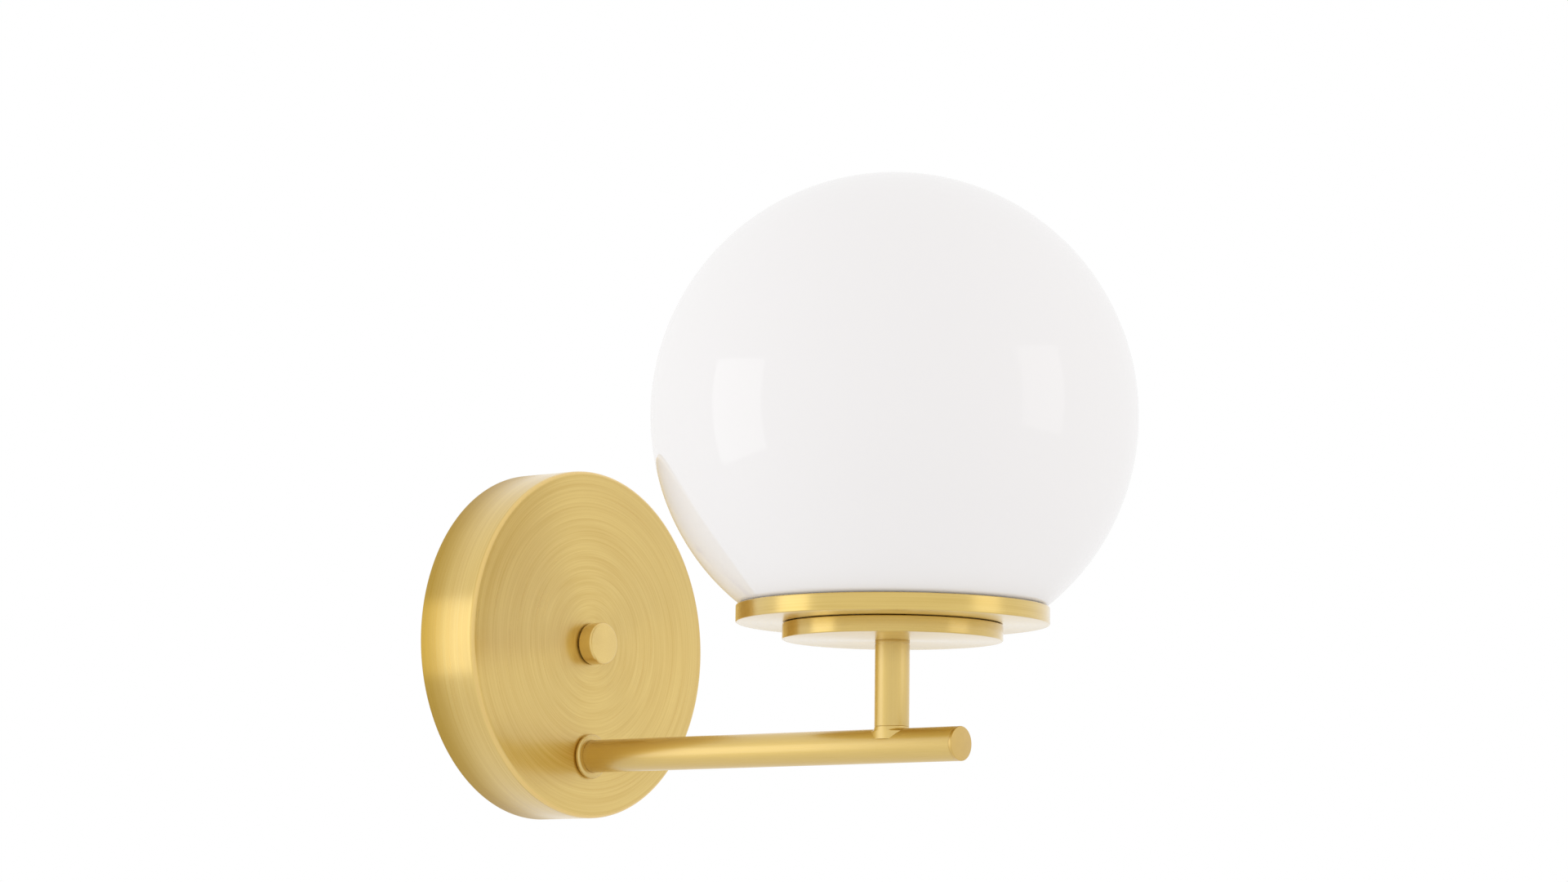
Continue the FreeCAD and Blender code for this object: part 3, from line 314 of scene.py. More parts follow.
class Graph:
    """Short calls that add and join the nodes of one tree."""

    def __init__(self, tree: NodeTree) -> None:
        """Takes the tree to build in."""
        self.tree = tree

    def add(self, kind: str, inputs: dict | None = None, **settings) -> Node:
        """Adds a node.

        Args:
            kind: Its Blender type name.
            inputs: What each input gets, by name or index: a value or another node's output.
            **settings: Its properties.

        Returns:
            The node.
        """
        node = self.tree.nodes.new(kind)
        for key, value in settings.items():
            setattr(node, key, value)
        for key, value in (inputs or {}).items():
            if isinstance(value, NodeSocket):
                self.join(value, node.inputs[key])
            else:
                node.inputs[key].default_value = value
        return node

    def maths(self, operation: str, first: Feed, second: Feed = 0.0, third: Feed = 0.0) -> NodeSocket:
        """A Math node's result."""
        return self.add("ShaderNodeMath", {0: first, 1: second, 2: third}, operation=operation).outputs[0]

    def weighed(self, first: Feed, share: float, second: Feed, rest: float) -> NodeSocket:
        """Adds two values, each with its own share."""
        return self.maths("ADD", self.maths("MULTIPLY", first, share), self.maths("MULTIPLY", second, rest))

    def vector(self, operation: str, first: Feed, second: Feed = (0.0, 0.0, 0.0)) -> Node:
        """A Vector Math node."""
        return self.add("ShaderNodeVectorMath", {0: first, 1: second}, operation=operation)

    def reach(self, place: Feed, across: tuple[float, float, float]) -> NodeSocket:
        """How far a place lies from an axis, where across is 0 along the axis and 1 elsewhere."""
        flat = self.vector("MULTIPLY", place, across).outputs["Vector"]
        return self.vector("LENGTH", flat).outputs["Value"]

    def part(self, place: Feed, letter: str) -> NodeSocket:
        """The X, Y or Z of a place."""
        return self.add("ShaderNodeSeparateXYZ", {"Vector": place}).outputs[letter]

    def noise(self, inputs: dict, **settings) -> NodeSocket:
        """A Noise Texture node's value."""
        return self.add("ShaderNodeTexNoise", inputs, **settings).outputs[0]

    def effect(self, tree: NodeTree, inputs: dict) -> bpy_prop_collection:
        """The outputs of one of the shared node groups."""
        return self.add("ShaderNodeGroup", inputs, node_tree=tree).outputs

    def join(self, source: NodeSocket, target: NodeSocket) -> None:
        """Links a socket to another."""
        self.tree.links.new(source, target)

    def spread(self, value: Feed, low: float, high: float, start: float = 0.0,
               end: float = 1.0) -> NodeSocket:
        """Maps a value from start..end to low..high."""
        limits = {"Value": value, "From Min": start, "From Max": end, "To Min": low, "To Max": high}
        return self.add("ShaderNodeMapRange", limits).outputs["Result"]

    def eased(self, value: Feed, start: float = 0.0, end: float = 1.0) -> NodeSocket:
        """Maps a value from start..end to 0..1, slower at both ends."""
        limits = {"Value": value, "From Min": start, "From Max": end}
        return self.add("ShaderNodeMapRange", limits, interpolation_type="SMOOTHSTEP").outputs["Result"]

    def blend(self, share: Feed, first: Feed, second: Feed) -> NodeSocket:
        """Mixes two colours.

        Args:
            share: How much of the second colour shows.
            first: A colour or the socket that gives it.
            second: The other one.

        Returns:
            The mixed colour.
        """
        node = self.add("ShaderNodeMix", {"Factor": share}, data_type="RGBA")
        for socket, value in ((node.inputs[6], first), (node.inputs[7], second)):
            if isinstance(value, NodeSocket):
                self.join(value, socket)
            else:
                socket.default_value = (*value, 1.0)
        return node.outputs[2]


def new_group(name: str, inputs: Sequence[str], outputs: Sequence[str]) -> tuple[Graph, dict, dict]:
    """Starts a shader node group, whose sockets are numbers, apart from one called Vector.

    Args:
        name: The group's name.
        inputs: The names of its inputs.
        outputs: The names of its outputs.

    Returns:
        Its graph, the sockets of its inputs and the sockets of its outputs, by name.
    """
    tree = bpy.data.node_groups.new(name, "ShaderNodeTree")
    for way, keys in (("INPUT", inputs), ("OUTPUT", outputs)):
        for key in keys:
            kind = "NodeSocketVector" if key == "Vector" else "NodeSocketFloat"
            tree.interface.new_socket(key, in_out=way, socket_type=kind)
    graph = Graph(tree)
    entry, leave = graph.add("NodeGroupInput"), graph.add("NodeGroupOutput")
    return graph, {key: entry.outputs[key] for key in inputs}, {key: leave.inputs[key] for key in outputs}


class Effects:
    """The node groups that several materials share."""

    LINE_PACE = 1.3
    HAIR_PACE = 3.1
    BAND_PACE = 0.5

    def __init__(self) -> None:
        """Builds the groups."""
        self.turning = self.turning_lines()
        self.grain = self.fine_grain()
        self.smudges = self.smudge_clouds()
        # Painted shade on a skirt towards the wall.
        self.wall_shade = self.painted_wall_shade()

    def turning_lines(self) -> NodeTree:
        """Fine lines round the local Z, as a belt or a lathe leaves them on a turned piece.

        Returns:
            The group, which puts out the lines, broad bands of them and their height.
        """
        graph, given, out = new_group("turning_lines", ("Vector", "Lines", "Breaks"), ("Line", "Band", "Height"))
        flat = graph.vector("MULTIPLY", given["Vector"], (1.0, 1.0, 0.0)).outputs["Vector"]
        radius = graph.vector("LENGTH", flat).outputs["Value"]
        spoke = graph.vector("NORMALIZE", flat).outputs["Vector"]
        broken = graph.add("ShaderNodeVectorMath", {0: spoke, "Scale": given["Breaks"]}, operation="SCALE")
        rise = graph.part(given["Vector"], "Z")
        track = graph.maths("MULTIPLY", graph.maths("ADD", rise, radius), given["Lines"])
        layers = [graph.noise({"Vector": broken.outputs["Vector"], "W": graph.maths("MULTIPLY", track, pace),
                               "Scale": 1.0, "Detail": 0.6}, noise_dimensions="4D")
                  for pace in (self.LINE_PACE, self.HAIR_PACE, self.BAND_PACE)]
        line = graph.spread(graph.weighed(layers[0], 0.55, layers[1], 0.45), 0.0, 1.0, 0.32, 0.68)
        band = graph.spread(layers[2], 0.0, 1.0, 0.3, 0.7)
        for key, value in (("Line", line), ("Band", band), ("Height", graph.weighed(line, 0.7, band, 0.3))):
            graph.join(value, out[key])
        return graph.tree

    def fine_grain(self) -> NodeTree:
        """The grain of a moulded, plated or fired surface.

        Returns:
            The group, which puts out a mottle and a height.
        """
        graph, given, out = new_group("fine_grain", ("Vector", "Grain", "Mottle"), ("Mottle", "Height"))
        small = graph.noise({"Vector": given["Vector"], "Scale": given["Grain"], "Detail": 4.0, "Roughness": 0.6})
        large = graph.noise({"Vector": given["Vector"], "Scale": given["Mottle"], "Detail": 3.0,
                             "Distortion": 0.4})
        graph.join(graph.spread(large, 0.0, 1.0, 0.3, 0.7), out["Mottle"])
        graph.join(small, out["Height"])
        return graph.tree

    def painted_wall_shade(self) -> NodeTree:
        """Painted shade: a darker tone of a skirt towards the wall that it stands on, standing in for the
        shadowed wall that it would reflect there.

        Returns:
            The group, which puts out a mask.
        """
        graph, given, out = new_group("painted_wall_shade", ("Vector", "Skirt", "Depth"), ("Mask",))
        rise = graph.part(given["Vector"], "Y")
        cloud = graph.noise({"Vector": given["Vector"], "Scale": 30.0})
        depth = graph.maths("MULTIPLY", given["Depth"], graph.spread(cloud, 0.85, 1.15))
        # Painted shade, full at the wall and fading out over the depth.
        near = graph.eased(graph.maths("ADD", graph.maths("DIVIDE", rise, depth), 1.0))
        radius = graph.reach(given["Vector"], (1.0, 0.0, 1.0))
        outside = graph.maths("GREATER_THAN", radius, given["Skirt"])
        graph.join(graph.maths("MULTIPLY", near, outside), out["Mask"])
        return graph.tree

    def smudge_clouds(self) -> NodeTree:
        """Faint handling marks and dust that dull a clean surface in places.

        Returns:
            The group, which puts out a mask.
        """
        graph, given, out = new_group("smudge_clouds", ("Vector", "Size"), ("Mask",))
        cloud = graph.noise({"Vector": given["Vector"], "Scale": given["Size"], "Detail": 5.0, "Distortion": 0.8})
        graph.join(graph.spread(cloud, 0.0, 1.0, 0.45, 0.75), out["Mask"])
        return graph.tree


EFFECTS = Effects()


def bare(owner: ID) -> Graph:
    """The emptied node graph of a material or a world.

    Args:
        owner: The material or world.

    Returns:
        Its graph.
    """
    owner.use_nodes = True
    owner.node_tree.nodes.clear()
    return Graph(owner.node_tree)


@dataclass
class Surface:
    """A material's graph, its Principled shader and the Object coordinates."""

    graph: Graph
    shader: Node
    where: NodeSocket

    def tint(self, share: NodeSocket, tone: Colour) -> None:
        """Lays a tone over the colour that the shader has, as much as the share says."""
        base = self.shader.inputs["Base Color"]
        self.graph.join(self.graph.blend(share, base.links[0].from_socket, tone), base)


@dataclass(frozen=True)
class Finish:
    """What a surface is made of. Its subclasses add the pattern that such a surface has."""

    name: str
    colour: Colour
    second_colour: Colour
    roughness: float
    roughness_range: float = 0.06
    metallic: float = 0.0
    bump: float = 0.1
    bump_depth: float = 0.00003
    constants: dict = field(default_factory=dict)

    def key(self, axis: Axis) -> str:
        """The name of its material on a piece with this axis, which only a turned finish needs."""
        return self.name

    def material(self, axis: Axis = Axis.STEM) -> Material:
        """The finish's material, made when it is first asked for.

        Args:
            axis: The line that the piece is turned about.

        Returns:
            The material.
        """
        found = bpy.data.materials.get(self.key(axis))
        if found:
            return found
        material = bpy.data.materials.new(self.key(axis))
        graph = bare(material)
        shader = graph.add("ShaderNodeBsdfPrincipled", {"Metallic": self.metallic, **self.constants})
        graph.add("ShaderNodeOutputMaterial", {"Surface": shader.outputs[0]})
        self.pattern(Surface(graph, shader, graph.add("ShaderNodeTexCoord").outputs["Object"]), axis)
        return material

    def pattern(self, on: Surface, axis: Axis) -> None:
        """Lays on the grain that the making leaves.

        Args:
            on: The surface.
            axis: The piece's axis, which only a turned finish needs.
        """
        grain = on.graph.effect(EFFECTS.grain, {"Vector": on.where, "Grain": 1400.0, "Mottle": 90.0})
        smudge = on.graph.effect(EFFECTS.smudges, {"Vector": on.where, "Size": 45.0})
        dull = on.graph.weighed(grain["Mottle"], 0.6, smudge["Mask"], 0.4)
        self.lay(on, grain["Mottle"], dull, grain["Height"])

    def lay(self, on: Surface, share: Feed, dullness: Feed, height: Feed) -> None:
        """Joins a pattern to the shader.

        Args:
            on: The surface.
            share: How much of the second colour shows.
            dullness: What varies the roughness, from 0 to 1.
            height: What the bump follows.
        """
        graph, inputs = on.graph, on.shader.inputs
        low, high = self.roughness - self.roughness_range, self.roughness + self.roughness_range
        bump = graph.add("ShaderNodeBump", {"Strength": self.bump, "Distance": self.bump_depth, "Height": height})
        graph.join(graph.blend(share, self.colour, self.second_colour), inputs["Base Color"])
        graph.join(graph.spread(dullness, low, high), inputs["Roughness"])
        graph.join(bump.outputs["Normal"], inputs["Normal"])


@dataclass(frozen=True)
class TurnedFinish(Finish):
    """A metal surface with fine lines round the piece's own axis, or along it where it is across."""

    lines: float = 2600.0
    breaks: float = 5.0
    anisotropy: float = 0.65
    across: bool = False
    # On the canopy: painted shade on the skirt towards the wall and a painted highlight on its bend.
    skirt_light_painted: bool = False
    # Painted shade towards the wall: where it starts, how far it reaches, its tone and its strength.
    skirt_radius: float = 0.0735
    skirt_shade_depth: float = 0.022
    skirt_shade_tone: Colour = (0.36, 0.21, 0.025)
    skirt_shade_share: float = 0.65
    # Painted highlight on the bend, in part polish wear: its tone, roughness and place.
    edge_highlight_tone: Colour = (0.86, 0.60, 0.17)
    edge_roughness: float = 0.45
    edge_across: tuple[float, float] = (0.0734, 0.0740)
    edge_along: tuple[float, float] = (-0.0284, -0.0290)

    def key(self, axis: Axis) -> str:
        """The name of its material on a piece with this axis."""
        return f"{self.name}_{axis.value}"

    def pattern(self, on: Surface, axis: Axis) -> None:
        """Lays on the lines that go round the piece's axis.

        Args:
            on: The surface.
            axis: The piece's axis.
        """
        graph, shader = on.graph, on.shader
        turn = (0.0, 0.0, 0.0) if axis is Axis.STEM else (math.radians(90.0), 0.0, 0.0)
        shift = (0.0, -STEM_Y * MM, 0.0) if axis is Axis.STEM else (0.0, axis.centre.z, 0.0)
        local = graph.add("ShaderNodeMapping", {"Vector": on.where, "Location": shift, "Rotation": turn})
        brushing = graph.effect(EFFECTS.turning, {"Vector": local.outputs[0], "Lines": self.lines,
                                                  "Breaks": self.breaks})
        smudge = graph.effect(EFFECTS.smudges, {"Vector": on.where, "Size": 28.0})
        share = graph.weighed(brushing["Line"], 0.72, brushing["Band"], 0.28)
        dull = graph.weighed(brushing["Line"], 0.75, smudge["Mask"], 0.25)
        self.lay(on, share, dull, brushing["Height"])
        # Painted shade towards the wall and a painted highlight on the bend.
        if self.skirt_light_painted:
            self.paint_skirt_shade(on)
            self.paint_edge_highlight_and_rub(on)
        spoke = graph.vector("SUBTRACT", on.where, tuple(axis.centre)).outputs["Vector"]
        round_it = graph.vector("CROSS_PRODUCT", tuple(axis.direction), spoke).outputs["Vector"]
        graph.join(round_it, shader.inputs["Tangent"])
        shader.inputs["Anisotropic"].default_value = self.anisotropy
        shader.inputs["Anisotropic Rotation"].default_value = 0.0 if self.across else 0.25

    def paint_skirt_shade(self, on: Surface) -> None:
        """Paints shade on the canopy's skirt towards the wall, and fades its coat out there.

        Args:
            on: The surface, which has its colour.
        """
        mask = on.graph.effect(EFFECTS.wall_shade, {"Vector": on.where, "Skirt": self.skirt_radius,
                                                "Depth": self.skirt_shade_depth})["Mask"]
        # Painted shade: the colour goes towards a dark tone near the wall, and the coat fades out with it.
        on.tint(on.graph.maths("MULTIPLY", mask, self.skirt_shade_share), self.skirt_shade_tone)
        coat = on.graph.spread(mask, self.constants["Coat Weight"], 0.0)
        on.graph.join(coat, on.shader.inputs["Coat Weight"])

    def paint_edge_highlight_and_rub(self, on: Surface) -> None:
        """Lightens the bend between the canopy's face and skirt: a painted highlight, and in part the wear where
        polishing rubs it most.

        Args:
            on: The surface, which has its colour and roughness.
        """
        graph, rough = on.graph, on.shader.inputs["Roughness"]
        across = graph.eased(graph.reach(on.where, (1.0, 0.0, 1.0)), *self.edge_across)
        along = graph.eased(graph.part(on.where, "Y"), *self.edge_along)
        share = graph.maths("MULTIPLY", across, along)
        # Painted highlight, in part polish wear: the colour goes towards a light tone on the bend.
        on.tint(share, self.edge_highlight_tone)
        dull = graph.add("ShaderNodeMix", {0: share, 2: rough.links[0].from_socket, 3: self.edge_roughness},
                         data_type="FLOAT")
        graph.join(dull.outputs[0], rough)


@dataclass(frozen=True)
class StripedFinish(Finish):
    """Wire insulation with a second colour winding along it."""

    stripe_pitch: float = 0.0055
    ground_share: float = 0.45

    def pattern(self, on: Surface, axis: Axis) -> None:
        """Lays on the stripes.

        Args:
            on: The surface.
            axis: The piece's axis, which the stripes don't need.
        """
        graph = on.graph
        slope = graph.vector("DOT_PRODUCT", on.where, (1.0, 1.0, 1.0)).outputs["Value"]
        phase = graph.maths("FRACT", graph.maths("DIVIDE", slope, self.stripe_pitch))
        stripe = graph.maths("GREATER_THAN", phase, self.ground_share)
        grain = graph.effect(EFFECTS.grain, {"Vector": on.where, "Grain": 900.0, "Mottle": 120.0})
        self.lay(on, stripe, grain["Mottle"], grain["Height"])


class Finishes:
    """Every finish of the sconce."""

    LACQUER = {"Coat Weight": 1.0, "Coat Roughness": 0.22, "Coat IOR": 1.75}
    # The canopy's brass, with painted shade towards the wall and a painted highlight on its bend.
    BRASS = TurnedFinish("brushed_brass", (0.62, 0.405, 0.070), (0.77, 0.555, 0.145), 0.34, 0.07, 1.0, 0.12,
                         constants=LACQUER, lines=1000.0, breaks=1.3, anisotropy=0.85, skirt_light_painted=True)
    SPUN_BRASS = TurnedFinish("spun_brass", (0.62, 0.415, 0.070), (0.74, 0.53, 0.130), 0.34, 0.06, 1.0, 0.05,
                              constants=LACQUER, lines=1000.0, breaks=1.3, anisotropy=0.85)
    TUBE_BRASS = TurnedFinish("satin_brass", (0.66, 0.455, 0.100), (0.71, 0.50, 0.135), 0.41, 0.03, 1.0, 0.03,
                              constants=LACQUER, lines=35.0, breaks=60.0, anisotropy=0.75, across=True)
    KNOB_BRASS = TurnedFinish("turned_knob", (0.76, 0.53, 0.13), (0.82, 0.595, 0.18), 0.38, 0.05, 1.0, 0.12,
                              constants=LACQUER, lines=3600.0, anisotropy=0.6)
    CUT_BRASS = Finish("cut_brass", (0.60, 0.385, 0.062), (0.66, 0.435, 0.085), 0.46, 0.05, 1.0, 0.1,
                       constants=LACQUER)
    RAW_BRASS = TurnedFinish("turned_brass", (0.66, 0.45, 0.17), (0.80, 0.60, 0.28), 0.32, 0.08, 1.0, 0.25,
                             lines=1500.0, anisotropy=0.4)
    OPAL = Finish("opal_glass", (0.828, 0.796, 0.786), (0.836, 0.806, 0.797), 0.16, 0.012, 0.0, 0.0, 0.00002,
                  {"IOR": 1.38})
    ZINC = Finish("zinc_plate", (0.56, 0.57, 0.58), (0.68, 0.67, 0.64), 0.36, 0.08, 1.0, 0.15, 0.00002)
    ZINC_TURNED = TurnedFinish("zinc_thread", (0.55, 0.56, 0.57), (0.70, 0.69, 0.67), 0.33, 0.07, 1.0, 0.2,
                               lines=3000.0, anisotropy=0.3)
    SPRING = Finish("spring_steel", (0.50, 0.50, 0.51), (0.60, 0.59, 0.58), 0.25, 0.07, 1.0, 0.12, 0.00001)
    GREEN = Finish("green_passivated", (0.10, 0.36, 0.13), (0.22, 0.50, 0.20), 0.34, 0.08, 0.85, 0.12, 0.00002)
    NYLON = Finish("nylon_white", (0.80, 0.80, 0.77), (0.85, 0.85, 0.83), 0.46, 0.06, 0.0, 0.2, 0.00003,
                   {"Subsurface Weight": 0.1, "Subsurface Radius": (0.002, 0.002, 0.0018)})
    WASHER = Finish("nylon_clear", (0.70, 0.68, 0.60), (0.76, 0.74, 0.67), 0.4, 0.06, 0.0, 0.1)
    SILICONE = Finish("silicone", (0.76, 0.76, 0.74), (0.82, 0.82, 0.80), 0.6, 0.06, 0.0, 0.2)
    PHENOLIC = Finish("phenolic_black", (0.010, 0.010, 0.012), (0.017, 0.016, 0.016), 0.27, 0.05, 0.0, 0.04,
                      0.00001, {"IOR": 1.6})
    PORCELAIN = Finish("porcelain", (0.82, 0.80, 0.76), (0.87, 0.86, 0.83), 0.16, 0.05, 0.0, 0.1, 0.00005,
                       {"Coat Weight": 0.5, "Coat Roughness": 0.05})
    NICKEL = Finish("nickel_plate", (0.66, 0.63, 0.58), (0.74, 0.71, 0.67), 0.2, 0.06, 1.0, 0.1, 0.00001)
    SOLDER = Finish("tinned_tip", (0.60, 0.60, 0.60), (0.74, 0.74, 0.73), 0.3, 0.1, 1.0, 0.5, 0.00008)
    BLACK_GLASS = Finish("cap_glass", (0.012, 0.012, 0.02), (0.03, 0.03, 0.045), 0.1, 0.04, 0.0, 0.2, 0.00004)
    BULB_PLASTIC = Finish("bulb_plastic", (0.83, 0.83, 0.82), (0.87, 0.87, 0.86), 0.42, 0.05, 0.0, 0.25)
    BULB_OPAL = Finish("bulb_diffuser", (0.88, 0.88, 0.86), (0.91, 0.91, 0.89), 0.5, 0.04, 0.0, 0.08, 0.00002,
                       {"Subsurface Weight": 0.2, "Subsurface Radius": (0.004, 0.004, 0.003)})
    BROWN = Finish("insulation_brown", (0.060, 0.022, 0.009), (0.085, 0.034, 0.014), 0.42, 0.06, 0.0, 0.15)
    BLUE = Finish("insulation_blue", (0.010, 0.070, 0.30), (0.018, 0.10, 0.38), 0.42, 0.06, 0.0, 0.15)
    EARTH = StripedFinish("insulation_green_yellow", (0.045, 0.24, 0.045), (0.78, 0.62, 0.03), 0.42, 0.05, 0.0,
                          0.15)


def fit(piece: Object, material: Material, *nodes: str, hide: bool = True) -> None:
    """Dresses a piece and sets it on the body of the node that it stands for.

    Args:
        piece: The piece.
        material: Its material.
        *nodes: The CAD nodes that it stands for, or is part of.
        hide: Whether it takes their place in the picture.
    """
    piece.data.materials.clear()
    piece.data.materials.append(material)
    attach(piece, BODY_OF[nodes[0]])
    if hide:
        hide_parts(*nodes)
    LOG.info("%s: %d faces, on %s", piece.name, len(piece.data.polygons), BODY_OF[nodes[0]])


def lathe(name: str, node: str, axis: Axis, outline: Outline, sides: int, finish: Finish,
          wave: Callable[[float, float, float], float] | None = None) -> None:
    """Turns a piece and dresses it in place of its CAD node.

    Args:
        name: The piece's name.
        node: The CAD node.
        axis: The line that it is turned about.
        outline: Its corners as (radius, along), in millimetres.
        sides: Facets round it.
        finish: Its finish.
        wave: Adds to a corner's radius.
    """
    fit(turned(name, axis, outline, sides, wave), finish.material(axis), node)


def copied(name: str, node: str, finish: Finish, axis: Axis = Axis.STEM, crease: float = 28.0) -> None:
    """Copies a CAD node with its triangles joined, and dresses the copy in its place.

    Args:
        name: The piece's name.
        node: The CAD node.
        finish: Its finish.
        axis: The line that the finish goes round.
        crease: The angle past which an edge stays sharp.
    """
    source = frame["nodes"][node]
    shape = bmesh.new()
    shape.from_mesh(source.data)
    shape.transform(source.matrix_world)
    bmesh.ops.remove_doubles(shape, verts=shape.verts[:], dist=JOIN_GAP)
    fit(finished_mesh(name, shape, crease), finish.material(axis), node)


# Geometry Nodes

class Trees:
    """The geometry node trees for what repeats or winds."""

    def __init__(self) -> None:
        """Builds the trees."""
        self.thread = self.thread_tree()
        self.ring = self.ring_tree()

    @staticmethod
    def start(name: str, inputs: dict[str, str]) -> tuple[Graph, dict, Node]:
        """Starts a tree that puts out a mesh.

        Args:
            name: Its name.
            inputs: The socket type of each input, by name.

        Returns:
            Its graph, its inputs by name and its output node.
        """
        tree = bpy.data.node_groups.new(name, "GeometryNodeTree")
        shape = "NodeSocketGeometry"
        inputs = {"Geometry": shape, **inputs, "Material": "NodeSocketMaterial"}
        for key, kind in inputs.items():
            tree.interface.new_socket(key, in_out="INPUT", socket_type=kind)
        tree.interface.new_socket("Geometry", in_out="OUTPUT", socket_type=shape)
        graph = Graph(tree)
        entry = graph.add("NodeGroupInput").outputs
        return graph, {key: entry[key] for key in inputs}, graph.add("NodeGroupOutput")

    def thread_tree(self) -> NodeTree:
        """A screw thread: a ridge that winds along the local Z.

        Returns:
            The tree.
        """
        number = "NodeSocketFloat"
        graph, given, out = self.start("screw_thread", {
            "Radius": number, "Pitch": number, "Length": number, "Ridge": number,
        })
        spiral = graph.add("GeometryNodeCurveSpiral", {
            "Resolution": 48, "Rotations": graph.maths("DIVIDE", given["Length"], given["Pitch"]),
            "Start Radius": given["Radius"], "End Radius": given["Radius"], "Height": given["Length"],
        })
        ridge = graph.add("GeometryNodeCurvePrimitiveCircle", {"Resolution": 3, "Radius": given["Ridge"]})
        swept = graph.add("GeometryNodeCurveToMesh", {
            "Curve": spiral.outputs["Curve"], "Profile Curve": ridge.outputs["Curve"], "Fill Caps": True,
        })
        smooth = graph.add("GeometryNodeSetShadeSmooth", {0: swept.outputs["Mesh"]})
        self.end(graph, smooth.outputs[0], given["Material"], out)
        return graph.tree

    def ring_tree(self) -> NodeTree:
        """Copies of a piece at even bearings round the local Z.

        Returns:
            The tree.
        """
        graph, given, out = self.start("even_ring", {
            "Count": "NodeSocketInt", "Radius": "NodeSocketFloat", "First Bearing": "NodeSocketFloat",
        })
        circle = graph.add("GeometryNodeCurvePrimitiveCircle", {
            "Resolution": given["Count"], "Radius": given["Radius"],
        })
        points = graph.add("GeometryNodeCurveToPoints", {"Curve": circle.outputs["Curve"]}, mode="EVALUATED")
        copies = graph.add("GeometryNodeInstanceOnPoints", {
            "Points": points.outputs["Points"], "Instance": given["Geometry"],
        })
        bearing = graph.add("ShaderNodeCombineXYZ", {"Z": given["First Bearing"]})
        turned_ring = graph.add("GeometryNodeTransform", {
            "Geometry": copies.outputs["Instances"], "Rotation": bearing.outputs[0],
        })
        self.end(graph, turned_ring.outputs[0], given["Material"], out)
        return graph.tree

    @staticmethod
    def end(graph: Graph, shape: NodeSocket, material: NodeSocket,
            out: Node) -> None:
        """Ends a tree in real meshes with their material.

        Args:
            graph: The tree's graph.
            shape: What it has made.
            material: The material's input.
            out: Its output node.
        """
        real = graph.add("GeometryNodeRealizeInstances", {"Geometry": shape})
        dressed = graph.add("GeometryNodeSetMaterial", {"Geometry": real.outputs[0], "Material": material})
        graph.join(dressed.outputs[0], out.inputs[0])

    @staticmethod
    def grow(name: str, tree: NodeTree, values: dict, axis: Axis, along: float,
             seed_mesh: Mesh | None = None) -> Object:
        """Runs a tree and keeps its result as a plain mesh on an axis.

        Args:
            name: The piece's name.
            tree: The tree.
            values: Its inputs, by name.
            axis: The line that becomes the tree's local Z.
            along: Where the tree's origin lies on that line, in millimetres.
            seed_mesh: The mesh that the tree starts from.

        Returns:
            The piece.
        """
        seed = placed(name + "_seed", seed_mesh or bpy.data.meshes.new(name + "_seed"))
        modifier = seed.modifiers.new("tree", "NODES")
        modifier.node_group = tree
        for item in tree.interface.items_tree:
            if item.item_type == "SOCKET" and item.in_out == "INPUT" and item.name in values:
                modifier[item.identifier] = values[item.name]
        graph = bpy.context.evaluated_depsgraph_get()
        mesh = bpy.data.meshes.new_from_object(seed.evaluated_get(graph))
        seed.modifiers.clear()
        bpy.data.objects.remove(seed)
        turn = Matrix.Identity(4) if axis is Axis.STEM else Matrix.Rotation(math.radians(90.0), 4, "X")
        mesh.transform(Matrix.Translation(axis.centre + axis.direction * along * MM) @ turn)
        mesh.name = name
        return placed(name, mesh)


TREES = Trees()


def threaded(name: str, node: str, axis: Axis, radius: float, start: float, length: float) -> None:
    """Winds a zinc-plated thread on a piece.

    Args:
        name: The thread's name.
        node: The CAD node that carries it.
        axis: The line that it winds round.
        radius: The radius of the ridge's middle, in millimetres.
        start: Where it starts along the line.
        length: How far it goes.
    """
    material = Finishes.ZINC_TURNED.material(axis)
    values = {"Radius": radius * MM, "Pitch": THREAD_PITCH * MM, "Length": length * MM,
              "Ridge": THREAD_RIDGE * MM, "Material": material}
    fit(TREES.grow(name, TREES.thread, values, axis, start), material, node, hide=False)


# Sub-assemblies

@dataclass
class WallSide:
    """The bracket, its stud and nut, the earth screw and the terminal block."""

    stud_radius: float = 3.0
    stud_head_radius: float = 4.5
    strap: float = 2.0
    stud_neck: float = 9.0
    stud_end: float = 35.7
    end_chamfer: float = 0.6
    thread_start: float = 9.3
    core_start: float = 9.6
    crease: float = 11.0

    def build(self) -> None:
        """Builds and dresses what stands on the wall."""
        self.build_stud()
        for node, finish in (
            ("wall_bracket", Finishes.ZINC), ("canopy_stop_nut", Finishes.ZINC),
            ("earth_screw", Finishes.GREEN), ("terminal_block", Finishes.NYLON),
            ("block_fixing_screws", Finishes.ZINC), ("terminal_screws", Finishes.ZINC),
        ):
            copied(f"{node}_dressed", node, finish, crease=self.crease)
        for node in ("earth_cup_washer", "terminal_barrels"):
            copied(f"{node}_dressed", node, Finishes.RAW_BRASS, Axis.CANOPY)

    def build_stud(self) -> None:
        """The stud: a core below the crests of its thread, and the thread."""
        core = self.stud_radius - THREAD_ROOT
        outline = [(0, 0), (self.stud_head_radius, 0), (self.stud_head_radius, self.strap)]
        outline += [(self.stud_radius, self.strap), (self.stud_radius, self.stud_neck)]
        outline += [(core, self.core_start), (core, self.stud_end - 0.5),
                    (core - self.end_chamfer, self.stud_end), (0, self.stud_end)]
        lathe("bracket_stud_core", "bracket_stud", Axis.CANOPY, outline, Sides.STUD, Finishes.ZINC_TURNED)
        threaded("bracket_stud_thread", "bracket_stud", Axis.CANOPY, self.stud_radius - THREAD_SINK,
                 self.thread_start, self.stud_end - self.thread_start - self.end_chamfer)


